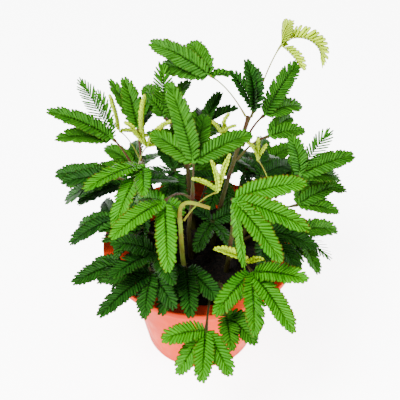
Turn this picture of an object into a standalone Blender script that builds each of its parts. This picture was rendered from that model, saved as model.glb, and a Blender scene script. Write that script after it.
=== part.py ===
"""Potted sensitive plant: a flared pot, its soil, the stems and the leaves.

Metres, +Z up. The origin is the centre of the pot's flat underside, +X is to the
plant's right and -Y is its front. Every stem and every leaf is one grown piece.
"""
import math

import bmesh
import bpy
from mathutils import Vector, noise
from mathutils.bvhtree import BVHTree

MM = 0.001
GAP = 0.3                # clearance left between pieces that touch, in millimetres
FLAT_ANGLE = math.radians(1.5)   # faces of a leaf that meet flatter than this are one face

# The pot, in millimetres
RIM_RADIUS = 90.0        # outside of the rolled lip
POT_HEIGHT = 122.0
BASE_RADIUS = 53.0       # outside of the wall at the underside
LIP_FLARE = 19.5         # how far the lip reaches out past the wall's neck
NECK_DROP = 19.0         # how far below the lip's top its flare starts
WALL = 3.0
FOOT_ROUND = 4.0         # rounding of the bottom corner
LIP_ROUND = 1.5          # rounding of the lip's edges
LIP_DEPTH = 7.0          # height of the lip's outer band
POT_SIDES = 48
DRAIN_HOLES = 4
DRAIN_RADIUS = 4.0
DRAIN_CIRCLE = 33.0      # radius of the circle that the drain holes lie on
NECK_RADIUS = RIM_RADIUS - LIP_FLARE
NECK_HEIGHT = POT_HEIGHT - NECK_DROP

# The soil
SOIL_DROP = 16.0         # how far the soil's level at the wall is below the pot's top
SOIL_MOUND = 3.0         # how much higher its middle is
SOIL_LUMPS = 1.6         # height of the lumps
SOIL_SIDES = 32
SOIL_RINGS = 5
SOIL_HEIGHT = POT_HEIGHT - SOIL_DROP

# The stems
ROOT_RADIUS = 2.4
TIP_RADIUS = 1.5
ROOT_DEPTH = 20.0        # how far a stem goes down into the soil
STEM_SIDES = 6
STEM_STEP = 22.0         # length of one straight piece of a stem

# The leaves
PETIOLE_RADIUS = 1.1
PETIOLE_SIDES = 4
PETIOLE_ARCH = 0.12      # rise of the leaf stalk's middle, as a share of its length
HUB_RADIUS = 2.2         # swelling where the four pinnae meet
PINNA_WIDTH = 19.0       # across both rows of leaflets
PINNA_THICKNESS = 1.3
PINNA_DROOP = 26.0       # how far a pinna bends down along its length, in degrees
LONG_PINNA = 40.0        # a pinna shorter than this is narrower too
SHORT_PINNA_POWER = 0.6  # how its width goes down with its length
LEAN_TO_LIGHT = 0.3      # how far the leaves lean to the front, as a share of facing up
LEAN_OUTWARD = 0.6       # and how far the leaves at the sides lean outward

# Share of the pinna's length, and share of its full width there
OUTLINE = ((0.0, 0.12), (0.12, 0.3), (0.4, 1.0), (0.82, 0.8))

# How a leaf stands: fold of the leaflets in degrees, width as a share of the full one
STANDS = {"open": (10.0, 1.0), "half": (38.0, 1.0), "bud": (74.0, 0.5),
          "young": (55.0, 0.5)}

# Each stem's middle line from the soil up, in millimetres, heights above the soil's level
STEMS = {
    "stem_tall": ((12, 10, 2), (20, 15, 54), (33, 20, 109), (41, 22, 142)),
    "stem_middle": ((-8, -8, 2), (-10, -12, 44), (-7, -18, 79), (-6, -20, 98)),
    "stem_left": ((-30, 9, 2), (-40, 10, 44), (-50, 8, 79), (-56, 10, 97)),
    "stem_back": ((-6, 32, 2), (-10, 38, 49), (-13, 42, 89), (-14, 42, 102)),
    "stem_right": ((33, 5, 2), (48, 5, 39), (60, 4, 62), (66, 3, 72)),
    "stem_front": ((24, -25, 2), (26, -38, 44), (27, -50, 79), (27, -56, 97)),
    "stem_trailing": ((10, -45, 2), (17, -62, 25), (20, -80, 32), (19, -94, 29)),
    "stem_low_left": ((-31, -31, 2), (-37, -42, 20), (-44, -52, 32)),
    "stem_back_right": ((28, 41, 2), (40, 52, 42), (48, 58, 69)),
    "stem_back_left": ((-34, 42, 2), (-48, 55, 39), (-55, 62, 64)),
    "stem_arching": ((-12, -42, 2), (-15, -48, 44), (-16, -51, 79), (-16, -54, 105),
                     (-9, -57, 115), (8, -60, 112)),
}


def fan(heading, pitch, length, spread=60.0):
    """Four pinnae fanned about a heading; the outer two are lower and shorter."""
    return ((heading - spread, pitch - 8, length * 0.86), (heading - spread / 3, pitch, length),
            (heading + spread / 3, pitch, length), (heading + spread, pitch - 8, length * 0.86))


# Each leaf: stem, hub in millimetres with its height above the soil's level, rise of the
# hub above its joint on the stem, stand, and its pinnae as (heading, pitch, length, roll,
# droop). Headings turn from +X toward +Y. Roll and droop are left out where they are usual.
LEAVES = {
    "leaf_high_left": ("stem_tall", (8, 30, 178), 32, "open",
        ((150, 15, 54, -55), (145, -10, 46, -60), (112, 10, 40, -30), (25, -10, 20))),
    "leaf_high_young": ("stem_tall", (65, 28, 208), 32, "half",
        ((-60, 70, 24, 40), (-12, -15, 46, 0, 150), (-50, -20, 24))),
    "leaf_high_upright": ("stem_tall", (45, 18, 151), 32, "half",
        ((150, 80, 42, -50), (155, 58, 34, -40), (80, 80, 32))),
    "leaf_high_right": ("stem_tall", (54, 20, 145), 32, "open",
        ((55, 25, 55), (40, -10, 40), (60, -10, 40))),
    "leaf_high_low": ("stem_tall", (58, 8, 132), 32, "open",
        ((25, -5, 30), (55, 0, 32))),
    "leaf_far_left": ("stem_left", (-75, 20, 120), 32, "open",
        ((130, 40, 55), (125, 62, 39), (-180, 30, 56), (170, -5, 47))),
    "leaf_back_left_top": ("stem_left", (-55, 40, 116), 32, "open",
        ((130, 40, 45, 50), (120, 62, 41, 50), (40, 60, 37), (60, 15, 44))),
    "leaf_yellow_left": ("stem_left", (-44, -5, 131), 32, "young",
        ((40, 90, 49), (-160, 60, 32), (-10, 55, 33), (30, -20, 30))),
    "leaf_back_fan": ("stem_back", (-31, 35, 132), 32, "open",
        ((95, 75, 44, 40), (115, 10, 39), (60, 20, 39), (-180, 60, 24))),
    "leaf_centre_tall": ("stem_middle", (-5, -39, 141), 32, "open",
        ((120, 55, 61), (80, 10, 50), (30, 10, 49), (140, 10, 41))),
    "leaf_right_top": ("stem_right", (86, 0, 96), 28, "open",
        ((150, 75, 35, -45), (35, 50, 42), (20, 10, 47), (30, -25, 47))),
    "leaf_broad_right": ("stem_front", (25, -75, 134), 32, "open",
        ((15, 5, 54), (-20, -10, 57), (-52, -20, 56), (-70, -60, 50, 80))),
    "leaf_broad_left": ("stem_middle", (-28, -60, 119), 32, "open",
        ((-130, 5, 55), (-86, -25, 53), (40, -55, 26), (140, -25, 31))),
    "leaf_left_front": ("stem_left", (-46, -34, 135), 44, "open",
        ((-135, 10, 54), (-110, -15, 55), (-85, 5, 35))),
    "leaf_left_dark": ("stem_left", (-74, -10, 101), 32, "open",
        ((160, -10, 52), (170, -35, 52), (-170, 5, 38))),
    "leaf_left_low": ("stem_low_left", (-76, -18, 61), 32, "open",
        ((-160, -20, 38), (165, -25, 33), (110, -10, 30))),
    "leaf_rim_left": ("stem_low_left", (-68, -45, 34), 28, "open",
        ((165, -20, 28), (-150, 0, 41), (-120, 10, 29), (-90, 0, 36))),
    "leaf_low_left": ("stem_low_left", (-41, -70, 48), 32, "open",
        ((-130, 0, 56), (-160, 8, 36), (-95, -5, 40), (-60, -5, 36))),
    "leaf_low_left_upper": ("stem_low_left", (-37, -60, 61), 32, "open",
        ((-130, 15, 50), (-70, 15, 45), (-150, 40, 45))),
    "leaf_low_front": ("stem_low_left", (-12, -60, 43), 32, "open",
        ((-85, 0, 48), (-115, -10, 43), (-55, 5, 44), (-145, -5, 35))),
    "leaf_front_right": ("stem_front", (42, -88, 67), 32, "open",
        ((-125, 0, 48), (-90, -10, 52), (-60, -10, 56), (-35, 25, 48))),
    "leaf_front_young": ("stem_front", (39, -82, 73), 32, "bud",
        ((-180, 30, 27), (-15, 30, 11))),
    "leaf_trailing": ("stem_trailing", (5, -114, 26), 20, "open",
        ((-150, 20, 37), (-130, -30, 36), (-95, -15, 38), (-60, -20, 36))),
    "leaf_trailing_side": ("stem_trailing", (21, -108, 39), 28, "open",
        ((-55, 5, 34), (-85, 10, 36), (-20, -5, 26))),
    "leaf_centre_young": ("stem_arching", (14, -59, 128), 36, "young",
        ((135, 75, 26), (50, 65, 30), (-170, 40, 24))),
    "leaf_right_middle": ("stem_right", (88, 5, 57), 32, "open",
        ((0, -10, 33), (30, 10, 34), (75, 20, 32))),
    "leaf_right_low": ("stem_right", (85, -20, 49), 32, "open",
        ((20, -15, 38), (-40, -15, 34), (-65, -20, 38), (-95, -10, 37))),
    "leaf_back_small": ("stem_back", (4, 60, 106), 32, "half",
        ((60, 30, 30), (30, 10, 31), (95, -10, 30), (0, -35, 28))),
    "leaf_yellow_back": ("stem_back", (19, 40, 109), 32, "young",
        ((-150, 60, 23), (10, 75, 22), (-40, 50, 22))),
    "leaf_yellow_right": ("stem_right", (49, 0, 113), 32, "young",
        ((-150, 65, 24), (60, 95, 22), (-40, 70, 20))),
    "leaf_right_inner": ("stem_right", (56, 25, 75), 32, "open",
        ((45, -15, 40), (90, 5, 38), (-100, -10, 38), (130, 0, 34))),
    "leaf_back_low_left": ("stem_back_left", (-66, 88, 33), 28, "open", fan(110, -2, 44)),
    "leaf_back_side_left": ("stem_back_left", (-85, 48, 51), 32, "open", fan(155, -12, 38)),
    "leaf_back_high": ("stem_back", (-12, 80, 71), 32, "open", fan(95, 5, 46)),
    "leaf_back_low": ("stem_back", (16, 90, 36), 28, "open",
        ((35, -10, 38), (85, -8, 44), (175, -8, 42), (-150, -12, 34))),
    "leaf_back_right": ("stem_back_right", (61, 84, 38), 32, "open", fan(65, 0, 44)),
    "leaf_back_side_right": ("stem_back_right", (94, 48, 43), 32, "open", fan(20, -5, 40)),
    "leaf_inner_right": ("stem_right", (55, -35, 64), 32, "open", fan(-35, -10, 42)),
    "leaf_inner_left": ("stem_left", (-62, -20, 44), 32, "open",
        ((140, -10, 33), (-140, 20, 26), (-110, 0, 26), (-60, -15, 26))),
    "leaf_inner_front": ("stem_middle", (11, 0, 41), 32, "open",
        ((-60, -5, 32), (-115, -5, 32), (150, 22, 36), (25, 5, 38))),
    "leaf_inner_back": ("stem_back", (22, 58, 46), 32, "open",
        ((-110, -8, 38), (-80, -25, 36), (180, -8, 42), (60, 0, 42))),
    "leaf_side_left": ("stem_left", (-64, 12, 77), 32, "open",
        ((25, -15, 44), (150, -10, 42), (-160, -10, 42), (-65, -30, 42))),
    "leaf_yellow_far": ("stem_back_left", (-73, 52, 105), 32, "young",
        ((150, 80, 35), (100, -20, 30), (30, -30, 30))),
    "leaf_behind_middle": ("stem_back", (-24, 60, 53), 32, "open",
        ((-108, -28, 40), (-155, 5, 42), (-80, -20, 38), (110, 5, 44))),
    "leaf_behind_right": ("stem_back_right", (41, 50, 56), 24, "open",
        ((-20, 5, 38), (10, -10, 42), (105, 10, 44), (-75, -15, 36))),
    "leaf_right_back": ("stem_back_right", (81, 42, 60), 32, "open",
        ((-30, -3, 34), (17, 5, 40), (63, 0, 40), (110, -3, 34))),
    "leaf_left_inner": ("stem_low_left", (-50, -28, 60), 28, "half",
        ((140, -10, 32), (-170, 5, 32), (-125, -5, 32), (-80, -15, 33))),
}

# Small turns tried in order, as (heading, pitch), until a pinna is clear of all before it
TURNS = [(0, 0)] + sorted(
    ((h, p) for h in range(-45, 50, 5) for p in range(-45, 50, 5) if (h, p) != (0, 0)),
    key=lambda turn: (turn[0] ** 2 + turn[1] ** 2, turn))

# Shifts of a joint along its stem, tried in order, until the leaf stalk is clear
RISES = sorted(range(-40, 44, 4), key=lambda shift: (abs(shift), shift))

# Colours of the finishes: base colour, roughness, metallic
FINISHES = {
    "terracotta": ((0.72, 0.22, 0.13), 0.45, 0.0),
    "potting_soil": ((0.018, 0.012, 0.008), 0.95, 0.0),
    "green_stem": ((0.17, 0.16, 0.05), 0.6, 0.0),
    "green_leaf": ((0.09, 0.30, 0.03), 0.5, 0.0),
    "young_leaf": ((0.50, 0.58, 0.08), 0.5, 0.0),
}


def finish(name):
    """The named material, made once."""
    material = bpy.data.materials.get(name)
    if material is None:
        colour, roughness, metallic = FINISHES[name]
        material = bpy.data.materials.new(name)
        material.use_nodes = True
        shader = material.node_tree.nodes["Principled BSDF"]
        shader.inputs["Base Color"].default_value = (*colour, 1.0)
        shader.inputs["Roughness"].default_value = roughness
        shader.inputs["Metallic"].default_value = metallic
        material.diffuse_color = (*colour, 1.0)
    return material


def add_object(name, points, faces, material, smooth=False):
    """A mesh object from points in millimetres, with its faces turned outward."""
    mesh = bpy.data.meshes.new(name)
    mesh.from_pydata([[value * MM for value in point] for point in points], [], faces)
    shell = bmesh.new()
    shell.from_mesh(mesh)
    bmesh.ops.triangulate(shell, faces=shell.faces)
    bmesh.ops.recalc_face_normals(shell, faces=shell.faces)
    shell.to_mesh(mesh)
    shell.free()
    mesh.polygons.foreach_set("use_smooth", [smooth] * len(mesh.polygons))
    mesh.materials.append(finish(material))
    piece = bpy.data.objects.new(name, mesh)
    bpy.context.scene.collection.objects.link(piece)
    return piece


def combine(target, tool, operation, solver='EXACT'):
    """Apply one Boolean to the target and remove the tool."""
    modifier = target.modifiers.new("combine", 'BOOLEAN')
    modifier.operation = operation
    modifier.solver = solver
    modifier.object = tool
    bpy.context.view_layer.objects.active = target
    bpy.ops.object.modifier_apply(modifier=modifier.name)
    mesh = tool.data
    bpy.data.objects.remove(tool)
    bpy.data.meshes.remove(mesh)


def fill_pockets(piece):
    """Fill the small closed pockets that crossing blades leave beside a leaf's hub."""
    shell = bmesh.new()
    shell.from_mesh(piece.data)
    unseen = set(shell.faces)
    while unseen:
        island, front = set(), [unseen.pop()]
        while front:
            face = front.pop()
            island.add(face)
            near = {other for edge in face.edges for other in edge.link_faces} & unseen
            unseen -= near
            front += near
        facing_in = sum(face.calc_area() * face.normal.dot(face.calc_center_median())
                        for face in island) < 0
        if facing_in:
            bmesh.ops.delete(shell, geom=list(island), context='FACES')
    bmesh.ops.dissolve_limit(shell, angle_limit=FLAT_ANGLE, verts=shell.verts, edges=shell.edges)
    bmesh.ops.triangulate(shell, faces=shell.faces)
    shell.to_mesh(piece.data)
    shell.free()


def ring_faces(rings, sides, closed_start=True, closed_end=True):
    """Faces between rings of equal sides, with an end face on each closed end."""
    faces = []
    for ring in range(rings - 1):
        for side in range(sides):
            after = (side + 1) % sides
            low, high = ring * sides, (ring + 1) * sides
            faces.append((low + side, low + after, high + after, high + side))
    if closed_start:
        faces.append(tuple(range(sides)))
    if closed_end:
        faces.append(tuple(range((rings - 1) * sides, rings * sides)))
    return faces


def lathe(name, profile, sides, material):
    """Turn a profile of (radius, height) points, whose ends lie on the axis, about Z."""
    points = [(0.0, 0.0, profile[0][1])]
    for radius, height in profile[1:-1]:
        for side in range(sides):
            angle = math.tau * side / sides
            points.append((radius * math.cos(angle), radius * math.sin(angle), height))
    points.append((0.0, 0.0, profile[-1][1]))
    top, rings = len(points) - 1, len(profile) - 2
    faces = [tuple(index + 1 for index in face)
             for face in ring_faces(rings, sides, closed_start=False, closed_end=False)]
    for side in range(sides):
        after = (side + 1) % sides
        faces.append((0, 1 + after, 1 + side))
        faces.append((top, 1 + (rings - 1) * sides + side, 1 + (rings - 1) * sides + after))
    return add_object(name, points, faces, material, smooth=True)


def smooth_line(knots, step):
    """Points at about equal steps on a smooth curve through the knots."""
    knots = [Vector(knot) for knot in knots]
    padded = [2 * knots[0] - knots[1]] + knots + [2 * knots[-1] - knots[-2]]
    line = [knots[0]]
    for before, start, end, after in zip(padded, padded[1:], padded[2:], padded[3:]):
        pieces = max(1, round((end - start).length / step))
        for piece in range(1, pieces + 1):
            t = piece / pieces
            line.append(0.5 * (2 * start + (end - before) * t
                               + (2 * before - 5 * start + 4 * end - after) * t ** 2
                               + (3 * start - before - 3 * end + after) * t ** 3))
    return line


def tube(line, radii, sides):
    """Points and faces of a closed tube along a line, with a radius at each point."""
    points = []
    across = None
    for index, centre in enumerate(line):
        ahead = line[min(index + 1, len(line) - 1)] - line[max(index - 1, 0)]
        ahead.normalize()
        if across is None:
            across = ahead.cross(Vector((0, 0, 1)) if abs(ahead.z) < 0.8 else Vector((1, 0, 0)))
        across = (across - ahead * across.dot(ahead)).normalized()
        upward = ahead.cross(across)
        for side in range(sides):
            angle = math.tau * side / sides
            reach = across * math.cos(angle) + upward * math.sin(angle)
            points.append(centre + reach * radii[index])
    return points, ring_faces(len(line), sides)


def direction(heading, pitch):
    """Unit vector at a heading from +X toward +Y and a pitch above the level."""
    heading, pitch = math.radians(heading), math.radians(pitch)
    return Vector((math.cos(heading) * math.cos(pitch), math.sin(heading) * math.cos(pitch),
                   math.sin(pitch)))


def blade(hub, pinna, stand, margin=0.0):
    """Points and faces of one pinna, folded in a V along its rachis."""
    heading, pitch, length = pinna[:3]
    roll = math.radians(pinna[3] if len(pinna) > 3 else 0.0)
    droop = pinna[4] if len(pinna) > 4 else PINNA_DROOP
    fold, width = STANDS[stand]
    fold = math.radians(fold)
    half = PINNA_WIDTH * width / 2 * min(1.0, length / LONG_PINNA) ** SHORT_PINNA_POWER
    outward = Vector((hub[0], hub[1], 0)).normalized()
    facing = Vector((LEAN_OUTWARD * outward.x, LEAN_TO_LIGHT * (outward.y - 1), 1)).normalized()
    points = []
    centre = Vector(hub)
    reached = 0.0
    for share, spread in OUTLINE + ((1.0, 0.0),):
        ahead = direction(heading, pitch + droop * (0.5 - (share + reached) / 2))
        centre = centre + ahead * length * (share - reached)
        reached = share
        ahead = direction(heading, pitch + droop * (0.5 - share))
        normal = (facing - ahead * facing.dot(ahead)).normalized()
        sideways = ahead.cross(normal)
        normal, sideways = (normal * math.cos(roll) + sideways * math.sin(roll),
                            sideways * math.cos(roll) - normal * math.sin(roll))
        if spread == 0.0:
            points.append(centre + ahead * margin)
            break
        reach = half * spread + margin
        edge = normal * reach * math.sin(fold)
        thick = normal * (PINNA_THICKNESS / 2 + margin)
        points += [centre + sideways * reach * math.cos(fold) + edge, centre + thick,
                   centre - sideways * reach * math.cos(fold) + edge, centre - thick]
    faces = ring_faces(len(OUTLINE), 4, closed_end=False)
    last, tip = 4 * (len(OUTLINE) - 1), len(points) - 1
    faces += [(last + side, last + (side + 1) % 4, tip) for side in range(4)]
    return points, faces


def pot_profiles():
    """The pot's outside from the axis to the lip, and its inside back to the axis."""
    lean = (NECK_RADIUS - BASE_RADIUS) / NECK_HEIGHT
    outside = [(0.0, 0.0), (BASE_RADIUS - FOOT_ROUND, 0.0)]
    for step in (1, 2, 3):
        angle = math.radians(30 * step)
        outside.append((BASE_RADIUS - FOOT_ROUND * (1 - math.sin(angle)) + FOOT_ROUND * lean,
                        FOOT_ROUND * (1 - math.cos(angle))))
    for share in (0.5, 1.0):
        outside.append((BASE_RADIUS + NECK_HEIGHT * share * lean, NECK_HEIGHT * share))
    flare = RIM_RADIUS - LIP_ROUND - NECK_RADIUS
    rise = POT_HEIGHT - LIP_DEPTH - NECK_HEIGHT
    for step in range(1, 5):
        angle = math.radians(22.5 * step)
        outside.append((NECK_RADIUS + flare * (1 - math.cos(angle)),
                        NECK_HEIGHT + rise * math.sin(angle)))
    outside += [(RIM_RADIUS, POT_HEIGHT - LIP_DEPTH + LIP_ROUND),
                (RIM_RADIUS, POT_HEIGHT - LIP_ROUND), (RIM_RADIUS - LIP_ROUND, POT_HEIGHT)]
    inside = [(RIM_RADIUS - WALL - LIP_ROUND, POT_HEIGHT)]
    inner_flare = RIM_RADIUS - WALL - LIP_ROUND - (NECK_RADIUS - WALL)
    inner_rise = POT_HEIGHT - WALL / 2 - NECK_HEIGHT
    for step in range(3, -1, -1):
        angle = math.radians(22.5 * step)
        inside.append((NECK_RADIUS - WALL + inner_flare * (1 - math.cos(angle)),
                       NECK_HEIGHT + inner_rise * math.sin(angle)))
    for share in (0.66, 0.33):
        inside.append((BASE_RADIUS - WALL + NECK_HEIGHT * share * lean, NECK_HEIGHT * share))
    inside += [(BASE_RADIUS - WALL + WALL * 2 * lean, WALL * 2),
               (BASE_RADIUS - WALL * 2, WALL), (0.0, WALL)]
    return outside, inside


def make_pot():
    """The flared pot with a rolled lip and drain holes in its floor."""
    outside, inside = pot_profiles()
    pot = lathe("pot", outside + inside, POT_SIDES, "terracotta")
    for hole in range(DRAIN_HOLES):
        angle = math.tau * (hole + 0.5) / DRAIN_HOLES
        centre = Vector((DRAIN_CIRCLE * math.cos(angle), DRAIN_CIRCLE * math.sin(angle), 0))
        ends = [centre - Vector((0, 0, WALL)), centre + Vector((0, 0, WALL * 2))]
        points, faces = tube(ends, [DRAIN_RADIUS] * 2, 12)
        combine(pot, add_object("drain", points, faces, "terracotta"), 'DIFFERENCE')
    return pot


def soil_top(x, y):
    """Height of the soil's lumpy surface at a place."""
    share = min(1.0, math.hypot(x, y) / NECK_RADIUS)
    lump = noise.noise(Vector((x, y, 0)) * 0.06) + 0.5 * noise.noise(Vector((x, y, 9)) * 0.15)
    return SOIL_HEIGHT + SOIL_MOUND * (1 - share ** 2) + SOIL_LUMPS * lump


def inner_radius(inside, height):
    """The pot's inside radius at a height, from its inside profile."""
    for (upper_radius, upper), (lower_radius, lower) in zip(inside, inside[1:]):
        if lower <= height <= upper and upper > lower:
            return lower_radius + (upper_radius - lower_radius) * (height - lower) / (upper - lower)
    return inside[-2][0]


def make_soil(stem_lines):
    """The soil that fills the pot, with a fitted hole for each stem's foot."""
    _, inside = pot_profiles()
    below = [(radius, height) for radius, height in inside[::-1] if height < SOIL_HEIGHT - WALL]
    rings = [(max(radius - GAP * 1.5, 0.0), height + GAP) for radius, height in below]
    edge = inner_radius(inside, SOIL_HEIGHT - SOIL_LUMPS * 2) - GAP * 1.5
    for ring in range(SOIL_RINGS):
        rings.append((edge * (1 - ring / SOIL_RINGS), None))
    rings.append((0.0, None))
    points = [(0.0, 0.0, rings[0][1])]
    for radius, height in rings[1:-1]:
        for side in range(SOIL_SIDES):
            angle = math.tau * side / SOIL_SIDES
            x, y = radius * math.cos(angle), radius * math.sin(angle)
            points.append((x, y, soil_top(x, y) if height is None else height))
    points.append((0.0, 0.0, soil_top(0.0, 0.0)))
    count, top = len(rings) - 2, len(points) - 1
    faces = [tuple(index + 1 for index in face)
             for face in ring_faces(count, SOIL_SIDES, closed_start=False, closed_end=False)]
    for side in range(SOIL_SIDES):
        after = (side + 1) % SOIL_SIDES
        faces.append((0, 1 + after, 1 + side))
        faces.append((top, 1 + (count - 1) * SOIL_SIDES + side,
                      1 + (count - 1) * SOIL_SIDES + after))
    soil = add_object("soil", points, faces, "potting_soil", smooth=False)
    for line, radii in stem_lines.values():
        foot = line[0] - (line[1] - line[0]).normalized() * GAP
        points, faces = tube([foot] + line[1:4], [radius + GAP for radius in radii[:4]], STEM_SIDES)
        combine(soil, add_object("foot", points, faces, "potting_soil"), 'DIFFERENCE')
    return soil


def above_soil(point):
    """A point whose height is given above the soil's level, from the pot's underside."""
    return Vector(point) + Vector((0, 0, SOIL_HEIGHT))


def stem_line(knots):
    """A stem's middle line, from its foot in the soil to its tip, and its radii."""
    line = smooth_line([above_soil(knot) for knot in knots], STEM_STEP)
    lean = (line[1] - line[0]).normalized()
    line = [line[0] - lean * ROOT_DEPTH] + line
    last = len(line) - 1
    radii = [ROOT_RADIUS + (TIP_RADIUS - ROOT_RADIUS) * index / last for index in range(last + 1)]
    return line, radii


def leaf_joint(hub, rise, line, radii):
    """Where a leaf's stalk meets its stem: the nearest point that is a rise below the hub."""
    best = None
    for index in range(2, len(line)):
        for share in (0.0, 0.25, 0.5, 0.75, 1.0):
            point = line[index - 1].lerp(line[index], share)
            miss = abs(hub.z - rise - point.z) + 0.3 * (hub - point).length
            if best is None or miss < best[0]:
                best = (miss, point, radii[index - 1], index)
    return best[1], best[2], (line[best[3]] - line[best[3] - 1]).normalized()


def petiole_line(hub, rise, line, radii):
    """The leaf stalk's middle line, from beside its stem up to the hub."""
    joint, radius, along = leaf_joint(hub, rise, line, radii)
    aside = hub - joint
    aside = aside - along * aside.dot(along)
    if aside.length < radius * 2:
        aside = Vector((0, -1, 0))
    aside.normalize()
    slant = (hub - joint).normalized().dot(aside)
    start = joint + aside * (radius + GAP + PETIOLE_RADIUS * math.sqrt(1 - slant ** 2))
    ahead = hub - start
    arch = Vector((0, 0, 1)) * ahead.length * PETIOLE_ARCH
    return [start + ahead * t + arch * 4 * t * (1 - t) for t in (0.0, 0.33, 0.67, 1.0)]


def settle_stalk(name, hub, rise, stem, grown, obstacles):
    """Move a leaf's joint along its stem by the smallest step that keeps the stalk clear."""
    others = [tree for other, tree in obstacles.items() if other != stem]
    bark = BVHTree.FromPolygons(*tube(*grown, STEM_SIDES))
    for shift in RISES:
        line = petiole_line(hub, rise + shift, *grown)
        points, faces = tube(line, [PETIOLE_RADIUS + GAP] * len(line), PETIOLE_SIDES)
        tree = BVHTree.FromPolygons(points, faces)
        stalk = BVHTree.FromPolygons(*tube(line, [PETIOLE_RADIUS] * len(line), PETIOLE_SIDES))
        if not stalk.overlap(bark) and not any(tree.overlap(other) for other in others):
            if shift:
                print("settle", name, "joint moved by", shift)
            return line, tree
    print("settle", name, "stalk has no clear place")
    return line, tree


def settle(name, hub, pinna, stand, others):
    """Turn a pinna by the smallest step that keeps it clear of everything before it."""
    for turn_heading, turn_pitch in TURNS:
        turned = (pinna[0] + turn_heading, pinna[1] + turn_pitch) + tuple(pinna[2:])
        points, faces = blade(hub, turned, stand, margin=GAP)
        if min(point.z for point in points) < PINNA_WIDTH / 4:
            continue
        tree = BVHTree.FromPolygons(points, faces)
        if not any(tree.overlap(other) for other in others):
            if turn_heading or turn_pitch:
                print("settle", name, pinna, "turned by", (turn_heading, turn_pitch))
            return turned, tree
    print("settle", name, pinna, "has no clear place")
    return pinna, BVHTree.FromPolygons(*blade(hub, pinna, stand))


def make_leaf(name, stand, hub, stalk, pinnae):
    """One leaf: its stalk, the hub and its pinnae, joined in one closed body."""
    colour = "young_leaf" if stand == "young" or name.endswith("young") else "green_leaf"
    end = stalk[-1] + (stalk[-1] - stalk[-2]).normalized() * HUB_RADIUS / 2
    points, faces = tube(stalk[:-1] + [end], [PETIOLE_RADIUS] * len(stalk), PETIOLE_SIDES)
    leaf = add_object(name, points, faces, colour)
    knob = [hub + axis * HUB_RADIUS * way for axis in
            (Vector((0.1, 0.2, 1)), Vector((1, 0.3, -0.1)), Vector((-0.3, 1, -0.2)))
            for way in (1, -1)]
    knob_faces = [(0, 2, 4), (0, 4, 3), (0, 3, 5), (0, 5, 2),
                  (1, 4, 2), (1, 3, 4), (1, 5, 3), (1, 2, 5)]
    # The exact solver drops whole blades where several thin ones cross at the hub
    combine(leaf, add_object("hub", knob, knob_faces, colour), 'UNION', 'MANIFOLD')
    for pinna in pinnae:
        points, faces = blade(hub, pinna, stand)
        combine(leaf, add_object("pinna", points, faces, colour), 'UNION', 'MANIFOLD')
    fill_pockets(leaf)
    return leaf


def main():
    for old in list(bpy.data.objects):
        bpy.data.objects.remove(old)
    stem_lines = {name: stem_line(knots) for name, knots in STEMS.items()}
    pot = make_pot()
    soil = make_soil(stem_lines)
    obstacles = {}
    for piece in (pot, soil):
        points = [corner.co / MM for corner in piece.data.vertices]
        faces = [tuple(face.vertices) for face in piece.data.polygons]
        obstacles[piece.name] = BVHTree.FromPolygons(points, faces)
    for name, (line, radii) in stem_lines.items():
        points, faces = tube(line, radii, STEM_SIDES)
        add_object(name, points, faces, "green_stem", smooth=True)
        wide, _ = tube(line[1:], [radius + GAP for radius in radii[1:]], STEM_SIDES)
        obstacles[name] = BVHTree.FromPolygons(wide, ring_faces(len(line) - 1, STEM_SIDES))
    stalks = {}
    for name, (stem, hub, rise, stand, pinnae) in LEAVES.items():
        hub = above_soil(hub)
        stalks[name], tree = settle_stalk(name, hub, rise, stem, stem_lines[stem], obstacles)
        obstacles[name + " stalk"] = tree
    for name, (stem, hub, rise, stand, pinnae) in LEAVES.items():
        hub = above_soil(hub)
        others = [tree for other, tree in obstacles.items()
                  if other.split(" ")[0] != name]
        settled = []
        for number, pinna in enumerate(pinnae):
            turned, tree = settle(name, hub, pinna, stand, others)
            settled.append(turned)
            obstacles[name + " " + str(number)] = tree
        make_leaf(name, stand, hub, stalks[name], settled)
    print("pieces", len(bpy.data.objects))


main()
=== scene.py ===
"""Looks of a potted sensitive plant: its flared pot, the soil, the stems and every leaf.

The leaves are built leaflet by leaflet along the same stalks and pinnae as the part's
own solids. Everything is in metres in the part's frame, with sizes given in millimetres.
"""

import logging
import math
import random
from dataclasses import dataclass, field
from enum import Enum

import bmesh
import bpy
import numpy as np
from mathutils import Matrix, Vector, noise


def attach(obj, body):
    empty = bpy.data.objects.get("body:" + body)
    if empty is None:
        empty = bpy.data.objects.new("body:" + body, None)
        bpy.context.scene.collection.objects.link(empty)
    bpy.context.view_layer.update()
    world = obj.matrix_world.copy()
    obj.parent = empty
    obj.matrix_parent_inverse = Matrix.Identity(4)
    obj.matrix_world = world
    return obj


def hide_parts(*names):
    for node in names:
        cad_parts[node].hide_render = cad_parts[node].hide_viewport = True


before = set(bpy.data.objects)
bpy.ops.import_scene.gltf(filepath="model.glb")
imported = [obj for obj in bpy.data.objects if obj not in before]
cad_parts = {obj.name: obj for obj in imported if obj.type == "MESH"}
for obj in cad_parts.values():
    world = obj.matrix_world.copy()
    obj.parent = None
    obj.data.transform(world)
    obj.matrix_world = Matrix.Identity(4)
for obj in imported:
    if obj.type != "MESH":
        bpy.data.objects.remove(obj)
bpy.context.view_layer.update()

MM = 0.001
UP = (0.0, 0.0, 1.0)
log = logging.getLogger("potted_plant")

Colour = tuple[float, float, float]
Point = tuple[float, float, float]
Section = list[tuple[float, float]]
Socket = bpy.types.NodeSocket
Blades = tuple[np.ndarray, np.ndarray, np.ndarray]
Pattern = tuple[np.ndarray, np.ndarray, np.ndarray, np.ndarray]


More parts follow.
